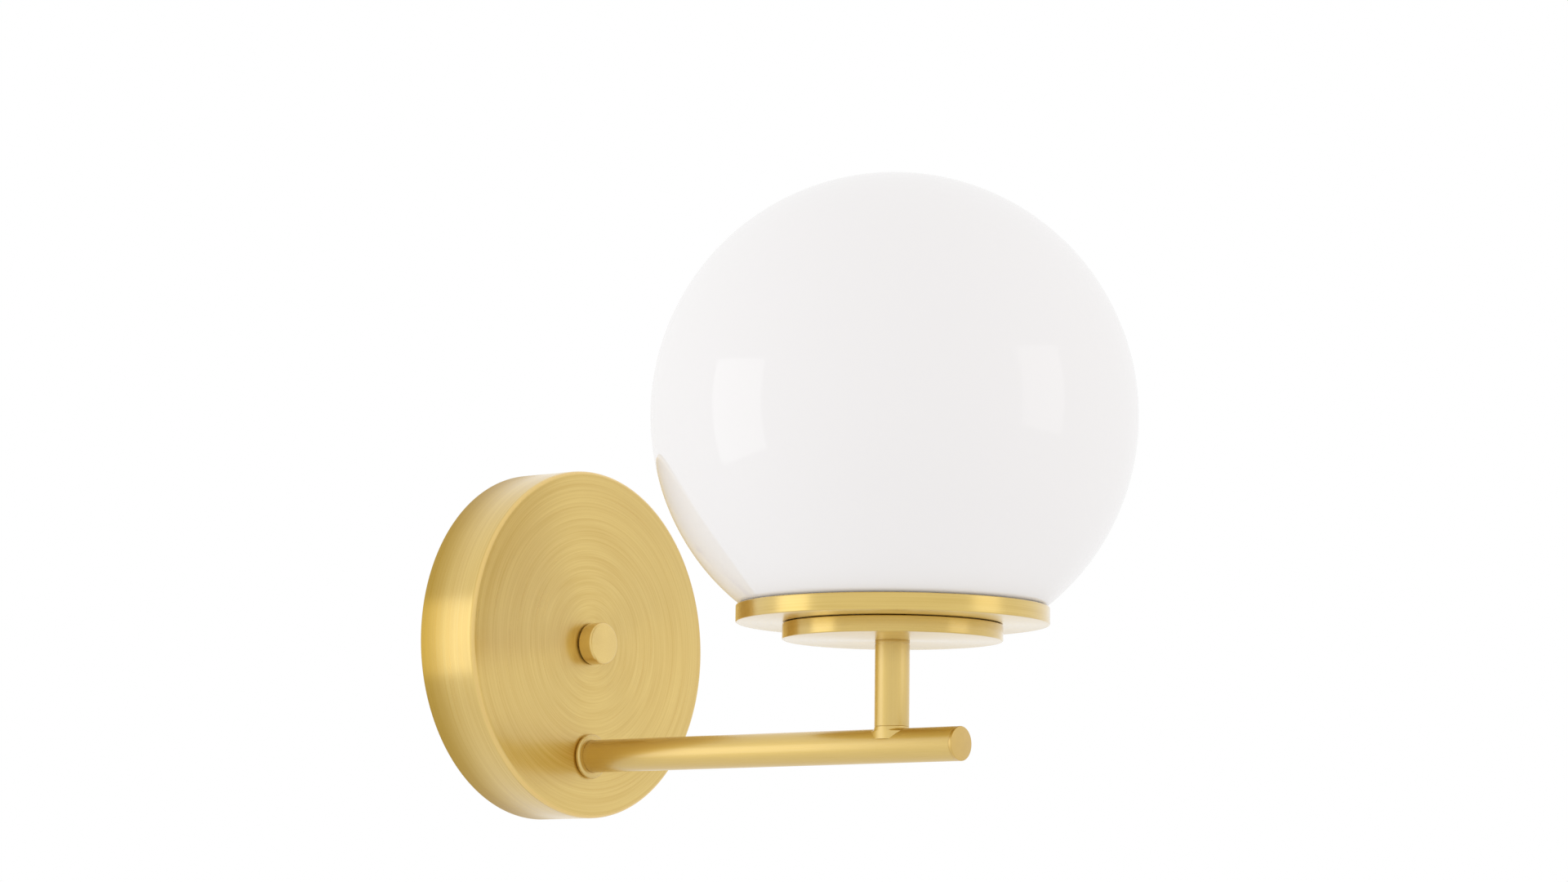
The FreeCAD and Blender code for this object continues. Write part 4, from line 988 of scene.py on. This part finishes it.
@dataclass
class Canopy:
    """The round cup on the wall, its knob and the knob's washer."""

    radius: float = 75.0
    depth: float = 30.0
    wall: float = 1.2
    edge: float = 2.0
    stud_hole: float = 3.2
    rim: float = 0.005
    knob_radius: float = 9.0
    knob_back: float = 30.7
    knob_length: float = 6.8
    knob_bore: float = 3.05
    knob_bevel: float = 1.0
    knob_tip: float = 1.5
    knob_shoulder: float = 2.5
    washer_radius: float = 7.0
    washer_back: float = 30.05
    washer_front: float = 30.65
    ring_gap: float = 12.0

    def build(self) -> None:
        """Builds and dresses the canopy and the knob."""
        inner = self.radius - self.wall
        face = self.depth - self.wall
        outline = [(self.stud_hole, self.depth), (self.radius, self.depth), (self.radius, self.rim)]
        outline += [(inner, self.rim), (inner, face), (self.stud_hole, face)]
        outline = softened(outline, {1: self.edge, 2: 0.25, 3: 0.25, 4: self.edge - self.wall}, 9)
        lathe("canopy_cup", "canopy", Axis.CANOPY, self.with_rings(outline), Sides.DISH, Finishes.BRASS)
        front = self.knob_back + self.knob_length
        knob = [(self.knob_bore, self.knob_back), (self.knob_radius, self.knob_back)]
        knob += [(self.knob_radius, front), (0.0, front), (0.0, front - self.knob_tip),
                 (self.knob_bore, front - self.knob_shoulder)]
        knob = softened(knob, {1: 0.35, 2: self.knob_bevel}, 8)
        lathe("canopy_knob_turned", "canopy_knob", Axis.CANOPY, knob, Sides.KNOB, Finishes.KNOB_BRASS)
        washer = band(self.knob_bore, self.washer_radius, self.washer_back, self.washer_front)
        lathe("knob_washer_disc", "knob_washer", Axis.CANOPY, softened(washer, {1: 0.15, 2: 0.15}, 3),
              Sides.WASHER, Finishes.WASHER)

    def with_rings(self, outline: Outline) -> Outline:
        """Adds corners across the flat face, so that its triangles stay short.

        Args:
            outline: The canopy's section.

        Returns:
            The section with the further corners.
        """
        result: Outline = []
        for here, after in zip(outline, outline[1:] + outline[:1]):
            result.append(here)
            count = int(math.dist(here, after) // self.ring_gap)
            for step in range(1, count + 1):
                share = step / (count + 1)
                result.append((here[0] + (after[0] - here[0]) * share, here[1] + (after[1] - here[1]) * share))
        return result


@dataclass
class Arm:
    """The arm with its collar, end cap and the fittings inside the canopy."""

    radius: float = 7.0
    bore: float = 5.8
    start: float = 30.0
    end: float = 226.5
    reach: float = 228.0
    collar_radius: float = 9.6
    collar_length: float = 2.4
    nipple_radius: float = 5.0
    nipple_bore: float = 3.5
    nipple_start: float = 19.0
    insert_end: float = 42.0
    cap_spigot: float = 5.0
    spigot_gap: float = 0.05
    thread_lead: float = 0.6
    thread_length: float = 12.0
    joint_gap: float = 0.02

    def build(self) -> None:
        """Builds and dresses the arm."""
        tube = softened([(self.radius, self.start), (self.radius, self.end), (self.bore, self.end),
                         (self.bore, self.start)], {1: 0.18}, 3)
        lathe("arm_tube_drawn", "arm_tube", Axis.ARM, tube, Sides.TUBE, Finishes.TUBE_BRASS)
        collar = band(self.radius + self.joint_gap, self.collar_radius, self.start,
                      self.start + self.collar_length)
        collar = softened(collar, {1: 1.15, 2: 1.15, 3: 0.1}, 8)
        lathe("arm_collar", "arm_ferrule", Axis.ARM, collar, Sides.TUBE, Finishes.TUBE_BRASS)
        back, spigot = self.end - self.cap_spigot, self.bore - self.spigot_gap
        cap = softened([(0.0, back), (spigot, back), (spigot, self.end), (self.radius, self.end),
                        (self.radius, self.reach), (0.0, self.reach)], {3: 0.12, 4: 0.3}, 4)
        lathe("arm_end_disc", "arm_end_cap", Axis.ARM, cap, Sides.TUBE, Finishes.CUT_BRASS)
        self.build_fittings()

    def build_fittings(self) -> None:
        """Builds the nipple, its nut and washer, the insert and the earth tag."""
        nipple = band(self.nipple_bore, self.nipple_radius - THREAD_ROOT, self.nipple_start, self.insert_end)
        lathe("arm_nipple_core", "arm_nipple", Axis.ARM, softened(nipple, {0: 0.3, 1: 0.3}, 3), Sides.NIPPLE,
              Finishes.ZINC_TURNED)
        threaded("arm_nipple_thread", "arm_nipple", Axis.ARM, self.nipple_radius - THREAD_SINK,
                 self.nipple_start + self.thread_lead, self.thread_length)
        copied("arm_insert_dressed", "arm_insert", Finishes.RAW_BRASS, Axis.ARM)
        copied("arm_nut_dressed", "arm_lock_nut", Finishes.ZINC)
        copied("arm_washer_dressed", "arm_lock_washer", Finishes.SPRING)
        copied("earth_tag_dressed", "earth_tag", Finishes.NICKEL)


@dataclass
class Stem:
    """The upright tube on its brazed saddle, with the nipple that carries the gallery."""

    radius: float = 7.1
    bore: float = 5.9
    foot: float = -40.7
    top: float = -5.8
    nipple_start: float = -17.8
    nipple_end: float = 12.5
    thread_start: float = 1.5
    line_drop: float = 1.2
    line_width: float = 0.32
    line_depth: float = 0.35
    flare: float = 1.8
    hollow: float = 0.25
    tube_overlap: float = 0.12
    flare_foot: float = -42.58
    skirt_foot: float = -45.9
    arm_radius: float = 7.0
    saddle_rows: int = 16
    saddle_crease: float = 50.0
    nipple_bore: float = 3.5
    nipple_radius: float = 5.0
    thread_length: float = 10.4

    def build(self) -> None:
        """Builds and dresses the stem."""
        low, high = self.top - self.line_drop - self.line_width, self.top - self.line_drop
        tube = softened([(self.bore, self.foot), (self.radius, self.foot), (self.radius, low),
                         (self.radius - self.line_depth, low), (self.radius - self.line_depth, high),
                         (self.radius, high), (self.radius, self.top), (self.bore, self.top)],
                        {1: 0.15, 6: 0.1}, 3)
        lathe("stem_tube_drawn", "stem_tube", Axis.STEM, tube, Sides.TUBE, Finishes.TUBE_BRASS)
        fit(self.saddle("stem_saddle_brazed"), Finishes.TUBE_BRASS.material(Axis.STEM), "stem_saddle")
        nipple = band(self.nipple_bore, self.nipple_radius - THREAD_ROOT, self.nipple_start, self.nipple_end)
        lathe("stem_nipple_core", "stem_nipple", Axis.STEM, nipple, Sides.NIPPLE, Finishes.ZINC_TURNED)
        threaded("stem_nipple_thread", "stem_nipple", Axis.STEM, self.nipple_radius - THREAD_SINK,
                 self.thread_start, self.thread_length)
        copied("stem_insert_dressed", "stem_insert", Finishes.RAW_BRASS)

    def arm_height(self, across: float) -> float:
        """The height of the arm's surface under a place, or of the saddle's own foot."""
        inside = self.arm_radius ** 2 - across ** 2
        return max(ARM_Z + math.sqrt(max(inside, 0.0)), self.skirt_foot)

    def saddle(self, name: str) -> Object:
        """The brazed saddle: a hollow flare round the stem's foot, cut to the arm.

        Args:
            name: The piece's name.

        Returns:
            The piece.
        """
        first, last = (self.radius, self.foot), (self.radius + self.flare, self.flare_foot)
        hollow = (self.radius + self.flare * self.hollow, (self.foot + 2 * self.flare_foot) / 3)
        profile = [(self.bore, self.foot), (self.radius - self.tube_overlap, self.foot)]
        profile += through(first, hollow, last, 24)[1:] + [(last[0], self.skirt_foot)]
        shape = bmesh.new()
        loops = []
        for side in range(Sides.SEAT):
            angle = 2 * math.pi * side / Sides.SEAT
            path = [self.saddle_point(radius, height, angle) for radius, height in profile]
            loop = [path[0]] + self.down_to_arm(path[1:], self.saddle_rows)
            seam, bore = loop[-1], path[0]
            for share in (0.25, 0.5, 0.75, 1.0):
                across = seam.x + (bore.x - seam.x) * share
                out = seam.y + (bore.y - seam.y) * share
                loop.append(Vector((across, out, self.arm_height(across))))
            loops.append([shape.verts.new(point * MM) for point in loop])
        for here, after in zip(loops, loops[1:] + loops[:1]):
            for row in range(len(here)):
                below = (row + 1) % len(here)
                shape.faces.new((here[row], after[row], after[below], here[below]))
        return finished_mesh(name, shape, self.saddle_crease)

    def saddle_point(self, radius: float, height: float, angle: float) -> Vector:
        """A point of the saddle's flare, which is no wider than the stem across the arm."""
        across = min(radius, self.radius) * math.cos(angle)
        return Vector((across, STEM_Y + radius * math.sin(angle), height))

    def down_to_arm(self, path: list[Vector], rows: int) -> list[Vector]:
        """Even points along a path, as far as the arm.

        Args:
            path: The points, from the top down.
            rows: How many points to return, less one.

        Returns:
            The points, of which the last lies on the arm.
        """
        kept = [path[0]]
        for here, after in zip(path, path[1:]):
            above, below = here.z - self.arm_height(here.x), after.z - self.arm_height(after.x)
            if below > 0.0:
                kept.append(after)
                continue
            touch = here.lerp(after, above / max(above - below, 1e-9))
            touch.z = self.arm_height(touch.x)
            kept.append(touch)
            break
        lengths = [0.0]
        for here, after in zip(kept, kept[1:]):
            lengths.append(lengths[-1] + (after - here).length)
        points = []
        for row in range(rows + 1):
            goal = lengths[-1] * row / rows
            index = max(i for i in range(len(kept) - 1) if lengths[i] <= goal + 1e-9)
            step = max(lengths[index + 1] - lengths[index], 1e-9)
            points.append(kept[index].lerp(kept[index + 1], min((goal - lengths[index]) / step, 1.0)))
        return points


@dataclass
class Gallery:
    """The small cup, the wide dish, the seat ring, the springs and their rivets."""

    hole: float = 5.2
    wall: float = 1.2
    edge: float = 0.5
    cup_radius: float = 45.0
    cup_base: float = -5.8
    cup_depth: float = 6.8
    joint_line: float = 0.3
    dish_radius: float = 64.0
    dish_base: float = 1.0
    dish_depth: float = 7.0
    ring_outer: float = 60.5
    ring_inner: float = 51.5
    ring_height: float = 1.2
    rivet_count: int = 3
    rivet_shank: float = 1.4
    rivet_tail: float = 2.04
    rivet_tail_height: float = 0.8
    rivet_place: float = 33.916
    rivet_head: float = 2.4
    rivet_lift: float = 0.5
    rivet_dome: float = 3.0
    rivet_dome_drop: float = 1.8
    rivet_dome_start: float = 37.0

    def build(self) -> None:
        """Builds and dresses the gallery."""
        for name, node, radius, base, depth in (
            ("base_cup_spun", "base_cup", self.cup_radius, self.cup_base, self.cup_depth - self.joint_line),
            ("gallery_dish_spun", "gallery_dish", self.dish_radius, self.dish_base, self.dish_depth),
        ):
            inner, floor, rim = radius - self.wall, base + self.wall, base + depth
            outline = [(self.hole, base), (radius, base), (radius, rim), (inner, rim), (inner, floor),
                       (self.hole, floor)]
            outline = softened(outline, {1: self.edge, 2: self.edge, 3: 0.3, 4: 0.5}, 6)
            lathe(name, node, Axis.STEM, outline, Sides.DISH, Finishes.SPUN_BRASS)
        floor = self.dish_base + self.wall
        ring = band(self.ring_inner, self.ring_outer, floor, floor + self.ring_height)
        lathe("seat_ring_soft", "globe_seat_ring", Axis.STEM, softened(ring, {2: 0.3, 3: 0.3}, 3), Sides.SEAT,
              Finishes.SILICONE)
        copied("gallery_nut_dressed", "gallery_lock_nut", Finishes.ZINC)
        copied("gallery_washer_dressed", "gallery_lock_washer", Finishes.SPRING)
        copied("leaf_springs", "globe_springs", Finishes.SPRING)
        self.build_rivets(floor)

    def build_rivets(self, floor: float) -> None:
        """Sets the rivets in a ring.

        Args:
            floor: The height of the dish's floor.
        """
        top = floor + self.rivet_lift
        foot = self.dish_base - self.rivet_tail_height
        head = [(0.0, foot), (self.rivet_tail, foot), (self.rivet_tail, self.dish_base)]
        head += [(self.rivet_shank, self.dish_base), (self.rivet_shank, top), (self.rivet_head, top)]
        head += arc((0.0, top - self.rivet_dome_drop), self.rivet_dome, self.rivet_dome_start, 90.0, 8)
        rivet = turned("rivet_pattern", Axis.STEM, softened(head, {1: 0.2}, 3), Sides.RIVET)
        rivet.data.transform(Matrix.Translation((0.0, -STEM_Y * MM, 0.0)))
        material = Finishes.RAW_BRASS.material(Axis.STEM)
        values = {"Count": self.rivet_count, "Radius": self.rivet_place * MM, "First Bearing": math.radians(90.0),
                  "Material": material}
        pattern = rivet.data.copy()
        bpy.data.objects.remove(rivet)
        piece = TREES.grow("spring_rivet_ring", TREES.ring, values, Axis.STEM, 0.0, pattern)
        piece.data.polygons.foreach_set("use_smooth", [True] * len(piece.data.polygons))
        fit(piece, material, "spring_rivets")


@dataclass
class Globe:
    """The blown globe of opal glass."""

    radius: float = 99.985
    wall: float = 3.0
    centre: float = 86.499
    edge_height: float = 3.5
    edge: float = 0.8
    rows: int = 110

    def build(self) -> None:
        """Builds and dresses the globe."""
        outline = hollow_ball(self.centre, self.centre - self.edge_height, self.radius, self.wall, self.rows)
        outline = softened(outline, {0: self.edge, len(outline) - 1: self.edge}, 6)
        lathe("globe_blown", "globe_glass", Axis.STEM, outline, Sides.GLOBE, Finishes.OPAL)


@dataclass
class Lampholder:
    """The lampholder: a cap, a porcelain, a shell and the contacts."""

    radius: float = 19.5
    base: float = 6.0
    wall: float = 2.2
    cap_top: float = 28.0
    top: float = 64.0
    mouth: float = 14.4
    step: float = 33.05
    neck: float = 8.0
    neck_bore: float = 5.05
    neck_top: float = 11.0
    neck_wall: float = 2.42
    shoulder: float = 16.2
    shoulder_wall: float = 1.32
    grip_rings: int = 4
    grip_pitch: float = 3.0
    grip_depth: float = 0.77
    grip_edges: tuple[float, float, float] = (0.6, 1.5, 2.1)
    contact_hole: float = 9.65
    contact_wall: float = 0.4
    contact_wave: float = 0.14
    contact_radius: float = 13.4
    contact_base: float = 37.0
    contact_top: float = 61.0
    contact_rows: int = 60
    thread_pitch: float = 3.63

    def build(self) -> None:
        """Builds and dresses the lampholder."""
        inner = self.radius - self.wall
        cap = [(self.neck_bore, self.base), (self.neck, self.base), (self.neck, self.neck_top),
               (self.radius, self.shoulder), (self.radius, self.cap_top), (inner, self.cap_top),
               (inner, self.shoulder + self.shoulder_wall), (self.neck, self.neck_top + self.neck_wall),
               (self.neck_bore, self.neck_top + self.neck_wall)]
        lathe("holder_cap_moulded", "lampholder_cap", Axis.STEM,
              softened(cap, {1: 0.4, 2: 0.8, 3: 1.5, 4: 0.35}, 5), Sides.HOLDER, Finishes.PHENOLIC)
        lathe("holder_shell_moulded", "lampholder_shell", Axis.STEM, self.shell_outline(inner), Sides.HOLDER,
              Finishes.PHENOLIC)
        copied("holder_porcelain", "lampholder_porcelain", Finishes.PORCELAIN)
        self.build_contacts()

    def shell_outline(self, inner: float) -> Outline:
        """The shell's section, with the grip rings round its outside.

        Args:
            inner: The radius inside its wall.

        Returns:
            The outline.
        """
        outline: Outline = [(inner, self.cap_top), (self.radius, self.cap_top)]
        rounding = {1: 0.3}
        groove = self.radius - self.grip_depth
        for ring in range(self.grip_rings):
            height = self.cap_top + self.grip_pitch * (ring + 1)
            low, high, end = self.grip_edges
            for radius, lift in ((self.radius, 0.0), (groove, low), (groove, high), (self.radius, end)):
                rounding[len(outline)] = 0.25
                outline.append((radius, height + lift))
        outline += [(self.radius, self.top - 1), (self.radius - 1, self.top), (self.mouth, self.top)]
        outline += [(self.mouth, self.step), (inner, self.step)]
        rounding.update({len(outline) - back: 0.4 for back in (5, 4, 3)})
        return softened(outline, rounding, 4)

    def build_contacts(self) -> None:
        """The screw shell, rolled to the cap's thread, and the tongue under the tip."""
        wall = self.contact_wall
        outline: Outline = [(self.contact_hole, self.contact_base),
                            (self.contact_radius + wall, self.contact_base)]
        steps = self.contact_rows
        rise = self.contact_top - self.contact_base - wall
        outline += [(self.contact_radius + wall, self.contact_base + wall + rise * step / steps)
                    for step in range(steps + 1)]
        outline += [(self.contact_radius, self.contact_top - rise * step / steps) for step in range(steps + 1)]
        outline += [(self.contact_hole, self.contact_base + wall)]

        def rolled(radius: float, along: float, angle: float) -> float:
            """The thread's wave, which fades at both ends of the shell.

            Args:
                radius: The corner's radius.
                along: Its height.
                angle: How far round it is, in radians.

            Returns:
                What is added to the radius.
            """
            if radius < self.contact_radius - wall:
                return 0.0
            ends = min((along - self.contact_base - 1.0) / 2.5, (self.contact_top - along) / 2.0, 1.0)
            turn = along / self.thread_pitch - angle / (2 * math.pi)
            return self.contact_wave * max(ends, 0.0) * math.cos(2 * math.pi * turn)

        lathe("screw_contact_rolled", "screw_contact", Axis.STEM, outline, Sides.WASHER, Finishes.NICKEL, rolled)
        copied("tip_tongue", "centre_contact", Finishes.RAW_BRASS)


@dataclass
class Bulb:
    """A round bulb with a 27 mm screw cap."""

    cap_radius: float = 13.1
    tip: float = 40.3
    tip_height: float = 1.5
    tip_radius: float = 4.5
    tip_flat: float = 2.7
    tip_rise: float = 0.9
    insulator_foot: float = 5.1
    insulator_radius: float = 11.1
    cap_shoulder: float = 12.2
    cap_rise: float = 0.7
    cap_floor: float = 3.0
    cap_rows: int = 90
    belly: float = 0.38
    thread_margins: tuple[float, float] = (2.0, 3.0)
    cap_base: float = 44.2
    collar_base: float = 66.2
    diffuser_base: float = 96.2
    top: float = 146.2
    radius: float = 30.0
    wall: float = 1.4
    shelf: float = 21.2
    thread_pitch: float = 3.63
    thread_depth: float = 1.1

    def build(self) -> None:
        """Builds and dresses the bulb."""
        seat = self.tip + self.tip_height
        tip = [(0.0, self.tip), (self.tip_flat, self.tip), (self.tip_radius, self.tip + self.tip_rise),
               (self.tip_radius, seat), (0.0, seat)]
        lathe("bulb_tip_soldered", "bulb_contact", Axis.STEM, softened(tip, {1: 0.8, 2: 0.3}, 4), Sides.TIP,
              Finishes.SOLDER)
        glass = [(0.0, seat), (self.insulator_foot, seat), (self.insulator_radius, self.cap_base),
                 (0.0, self.cap_base)]
        lathe("bulb_insulator_glass", "bulb_insulator", Axis.STEM, softened(glass, {1: 0.3}, 3), Sides.STUD,
              Finishes.BLACK_GLASS)
        self.build_cap()
        self.build_collar()
        self.build_diffuser()

    def build_cap(self) -> None:
        """The screw cap, with its rolled thread cut into the cap's outer size."""
        steps = self.cap_rows
        low, high = self.cap_base + self.thread_margins[0], self.collar_base - self.thread_margins[1]
        floor = self.cap_base + self.cap_floor
        outline: Outline = [(0.0, self.cap_base), (self.insulator_radius, self.cap_base),
                            (self.cap_shoulder, self.cap_base + self.cap_rise)]
        outline += [(self.cap_radius, low + (high - low) * step / steps) for step in range(steps + 1)]
        outline += [(self.cap_radius - 0.1, high + 0.5), (self.cap_radius, self.collar_base)]
        outline += [(self.cap_radius - 0.5, self.collar_base), (self.cap_radius - 2.0, floor), (0.0, floor)]

        def rolled(radius: float, along: float, angle: float) -> float:
            """The thread's wave, all of it inside the cap's outer size.

            Args:
                radius: The corner's radius.
                along: Its height.
                angle: How far round it is, in radians.

            Returns:
                What is added to the radius.
            """
            if radius < self.cap_radius - 0.01 or not low <= along <= high:
                return 0.0
            ends = min((along - low) / 2.0, (high - along) / 2.0, 1.0)
            turn = along / self.thread_pitch - angle / (2 * math.pi)
            return self.thread_depth * ends * (0.5 * math.cos(2 * math.pi * turn) - 0.5)

        lathe("bulb_cap_rolled", "bulb_cap", Axis.STEM, outline, Sides.BULB, Finishes.NICKEL, rolled)

    def build_collar(self) -> None:
        """The flared collar, with its rim turned in under the diffuser."""
        low, high = self.collar_base, self.diffuser_base
        first = (self.cap_radius, low)
        last = (self.radius - 1.0, high)
        middle = (first[0] * (1.0 - self.belly) + last[0] * self.belly, (low + high) / 2)
        outside = through(first, middle, last, 36)
        inside = [(max(radius - self.wall, 0.0), height) for radius, height in reversed(outside)]
        shelf = [(self.shelf, high), (self.shelf, high - self.wall)]
        outline = softened(outside + shelf + inside[2:], {len(outside) - 1: 0.5}, 5)
        lathe("bulb_collar_moulded", "bulb_collar", Axis.STEM, outline, Sides.BULB, Finishes.BULB_PLASTIC)

    def build_diffuser(self) -> None:
        """The round diffuser."""
        centre = self.top - self.radius
        outline = hollow_ball(centre, centre - self.diffuser_base, self.radius, self.wall, 48)
        lathe("bulb_diffuser_moulded", "bulb_diffuser", Axis.STEM, outline, Sides.BULB, Finishes.BULB_OPAL)


@dataclass
class Wiring:
    """The three wires inside."""

    crease: float = 60.0

    def build(self) -> None:
        """Builds and dresses the wires."""
        for node, finish in (("live_wire", Finishes.BROWN), ("neutral_wire", Finishes.BLUE),
                             ("earth_wire", Finishes.EARTH)):
            copied(f"{node}_insulated", node, finish, crease=self.crease)


@dataclass
class Studio:
    """The camera, the lamps, the world and the floor."""

    camera_place: tuple = (-1.290585, -1.168004, -0.144514)
    camera_right: tuple = (0.62351833, -0.78172435, 0.01148611)
    camera_up: tuple = (-0.11260682, -0.07525945, 0.99078541)
    lens: float = 91.485
    sensor: float = 36.0
    far: float = 50.0
    middle: tuple = (0.0, -0.15, 0.03)
    lamp_distance: float = 2.2
    floor_height: float = -0.6
    floor_radius: float = 3.2
    floor_fade: tuple[float, float] = (0.9, 2.6)
    floor_tone: Colour = (0.93, 0.93, 0.93)
    ambient: Colour = (0.955, 0.955, 0.96)
    background: Colour = (1.0, 1.0, 1.0)

    def build(self) -> None:
        """Builds the studio."""
        scene = bpy.context.scene
        scene.view_settings.view_transform = "Standard"
        self.build_camera(scene)
        self.build_world(scene)
        self.build_floor()
        self.lamp("left_softbox", (-0.772, 0.635, 0.02), 1.15, 1.5, 4.6, (0.96, 0.99, 1.0))
        self.lamp("right_softbox", (0.319, -0.948, 0.17), 0.9, 1.2, 2.0, (1.0, 0.98, 0.96))

    def build_camera(self, scene: Scene) -> None:
        """The camera, at the photograph's viewing angle.

        Args:
            scene: The scene that gets the camera.
        """
        data = bpy.data.cameras.new("view")
        data.lens = self.lens
        data.sensor_width = self.sensor
        data.sensor_fit = "HORIZONTAL"
        data.clip_end = self.far
        right, up = Vector(self.camera_right), Vector(self.camera_up)
        turn = Matrix((right, up, right.cross(up))).transposed().to_4x4()
        camera = placed("view", data)
        camera.matrix_world = Matrix.Translation(self.camera_place) @ turn
        scene.camera = camera

    def lamp(self, name: str, direction: tuple, width: float, height: float, power: float,
             colour: Colour) -> None:
        """Hangs a softbox that faces the sconce.

        Args:
            name: Its name.
            direction: Where it is from the sconce.
            width: Its width, in metres.
            height: Its height, in metres.
            power: Its power, in watts.
            colour: The colour of its light.
        """
        data = bpy.data.lights.new(name, "AREA")
        data.shape = "RECTANGLE"
        data.size, data.size_y = width, height
        data.energy = power
        data.color = colour
        away = Vector(direction).normalized() * self.lamp_distance
        lamp = placed(name, data)
        lamp.location = Vector(self.middle) + away
        lamp.rotation_euler = away.to_track_quat("Z", "Y").to_euler()
        lamp.visible_camera = False

    @staticmethod
    def sees_background(graph: Graph) -> NodeSocket:
        """1 for the rays that see the white background: the camera's, and those of metal and glass.

        Args:
            graph: The graph that it goes into.

        Returns:
            The share.
        """
        path = graph.add("ShaderNodeLightPath").outputs
        shown = graph.maths("MAXIMUM", path["Is Camera Ray"], path["Is Transmission Ray"])
        return graph.maths("MAXIMUM", shown, path["Is Glossy Ray"])

    def build_world(self, scene: Scene) -> None:
        """A white background that the camera, metal and glass all see, over a plain ambient light.

        Args:
            scene: The scene that gets the world.
        """
        world = bpy.data.worlds.new("studio")
        scene.world = world
        graph = bare(world)
        background = graph.add("ShaderNodeBackground", {"Color": (*self.background, 1.0)})
        ambient = graph.add("ShaderNodeBackground", {"Color": (*self.ambient, 1.0)})
        final = graph.add("ShaderNodeMixShader", {0: self.sees_background(graph), 1: ambient.outputs[0],
                                                  2: background.outputs[0]})
        graph.add("ShaderNodeOutputWorld", {"Surface": final.outputs[0]})

    def build_floor(self) -> None:
        """A pale floor well below, which fades into the white round it."""
        shape = bmesh.new()
        bmesh.ops.create_circle(shape, cap_ends=True, segments=96, radius=self.floor_radius)
        bmesh.ops.translate(shape, verts=shape.verts[:], vec=(0.0, -0.1, self.floor_height))
        mesh = bpy.data.meshes.new("floor")
        shape.to_mesh(mesh)
        shape.free()
        floor = placed("floor", mesh)
        material = bpy.data.materials.new("pale_floor")
        graph = bare(material)
        where = graph.add("ShaderNodeTexCoord").outputs["Object"]
        fade = graph.eased(graph.reach(where, (1.0, 1.0, 0.0)), *self.floor_fade)
        paint = graph.add("ShaderNodeBsdfDiffuse", {"Color": (*self.floor_tone, 1.0)})
        white = graph.add("ShaderNodeEmission", {"Color": (*self.background, 1.0)})
        share = graph.maths("MULTIPLY", fade, self.sees_background(graph))
        mixed = graph.add("ShaderNodeMixShader", {0: share, 1: paint.outputs[0], 2: white.outputs[0]})
        graph.add("ShaderNodeOutputMaterial", {"Surface": mixed.outputs[0]})
        mesh.materials.append(material)


def main() -> None:
    """Builds the sconce and the studio."""
    logging.basicConfig(level=logging.INFO, format="%(name)s %(message)s")
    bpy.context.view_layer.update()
    for assembly in (WallSide(), Canopy(), Arm(), Stem(), Gallery(), Globe(), Lampholder(), Bulb(), Wiring()):
        assembly.build()
        LOG.info("%s is built", type(assembly).__name__)
    Studio().build()
    bpy.context.view_layer.update()


if __name__ == "__main__":
    main()
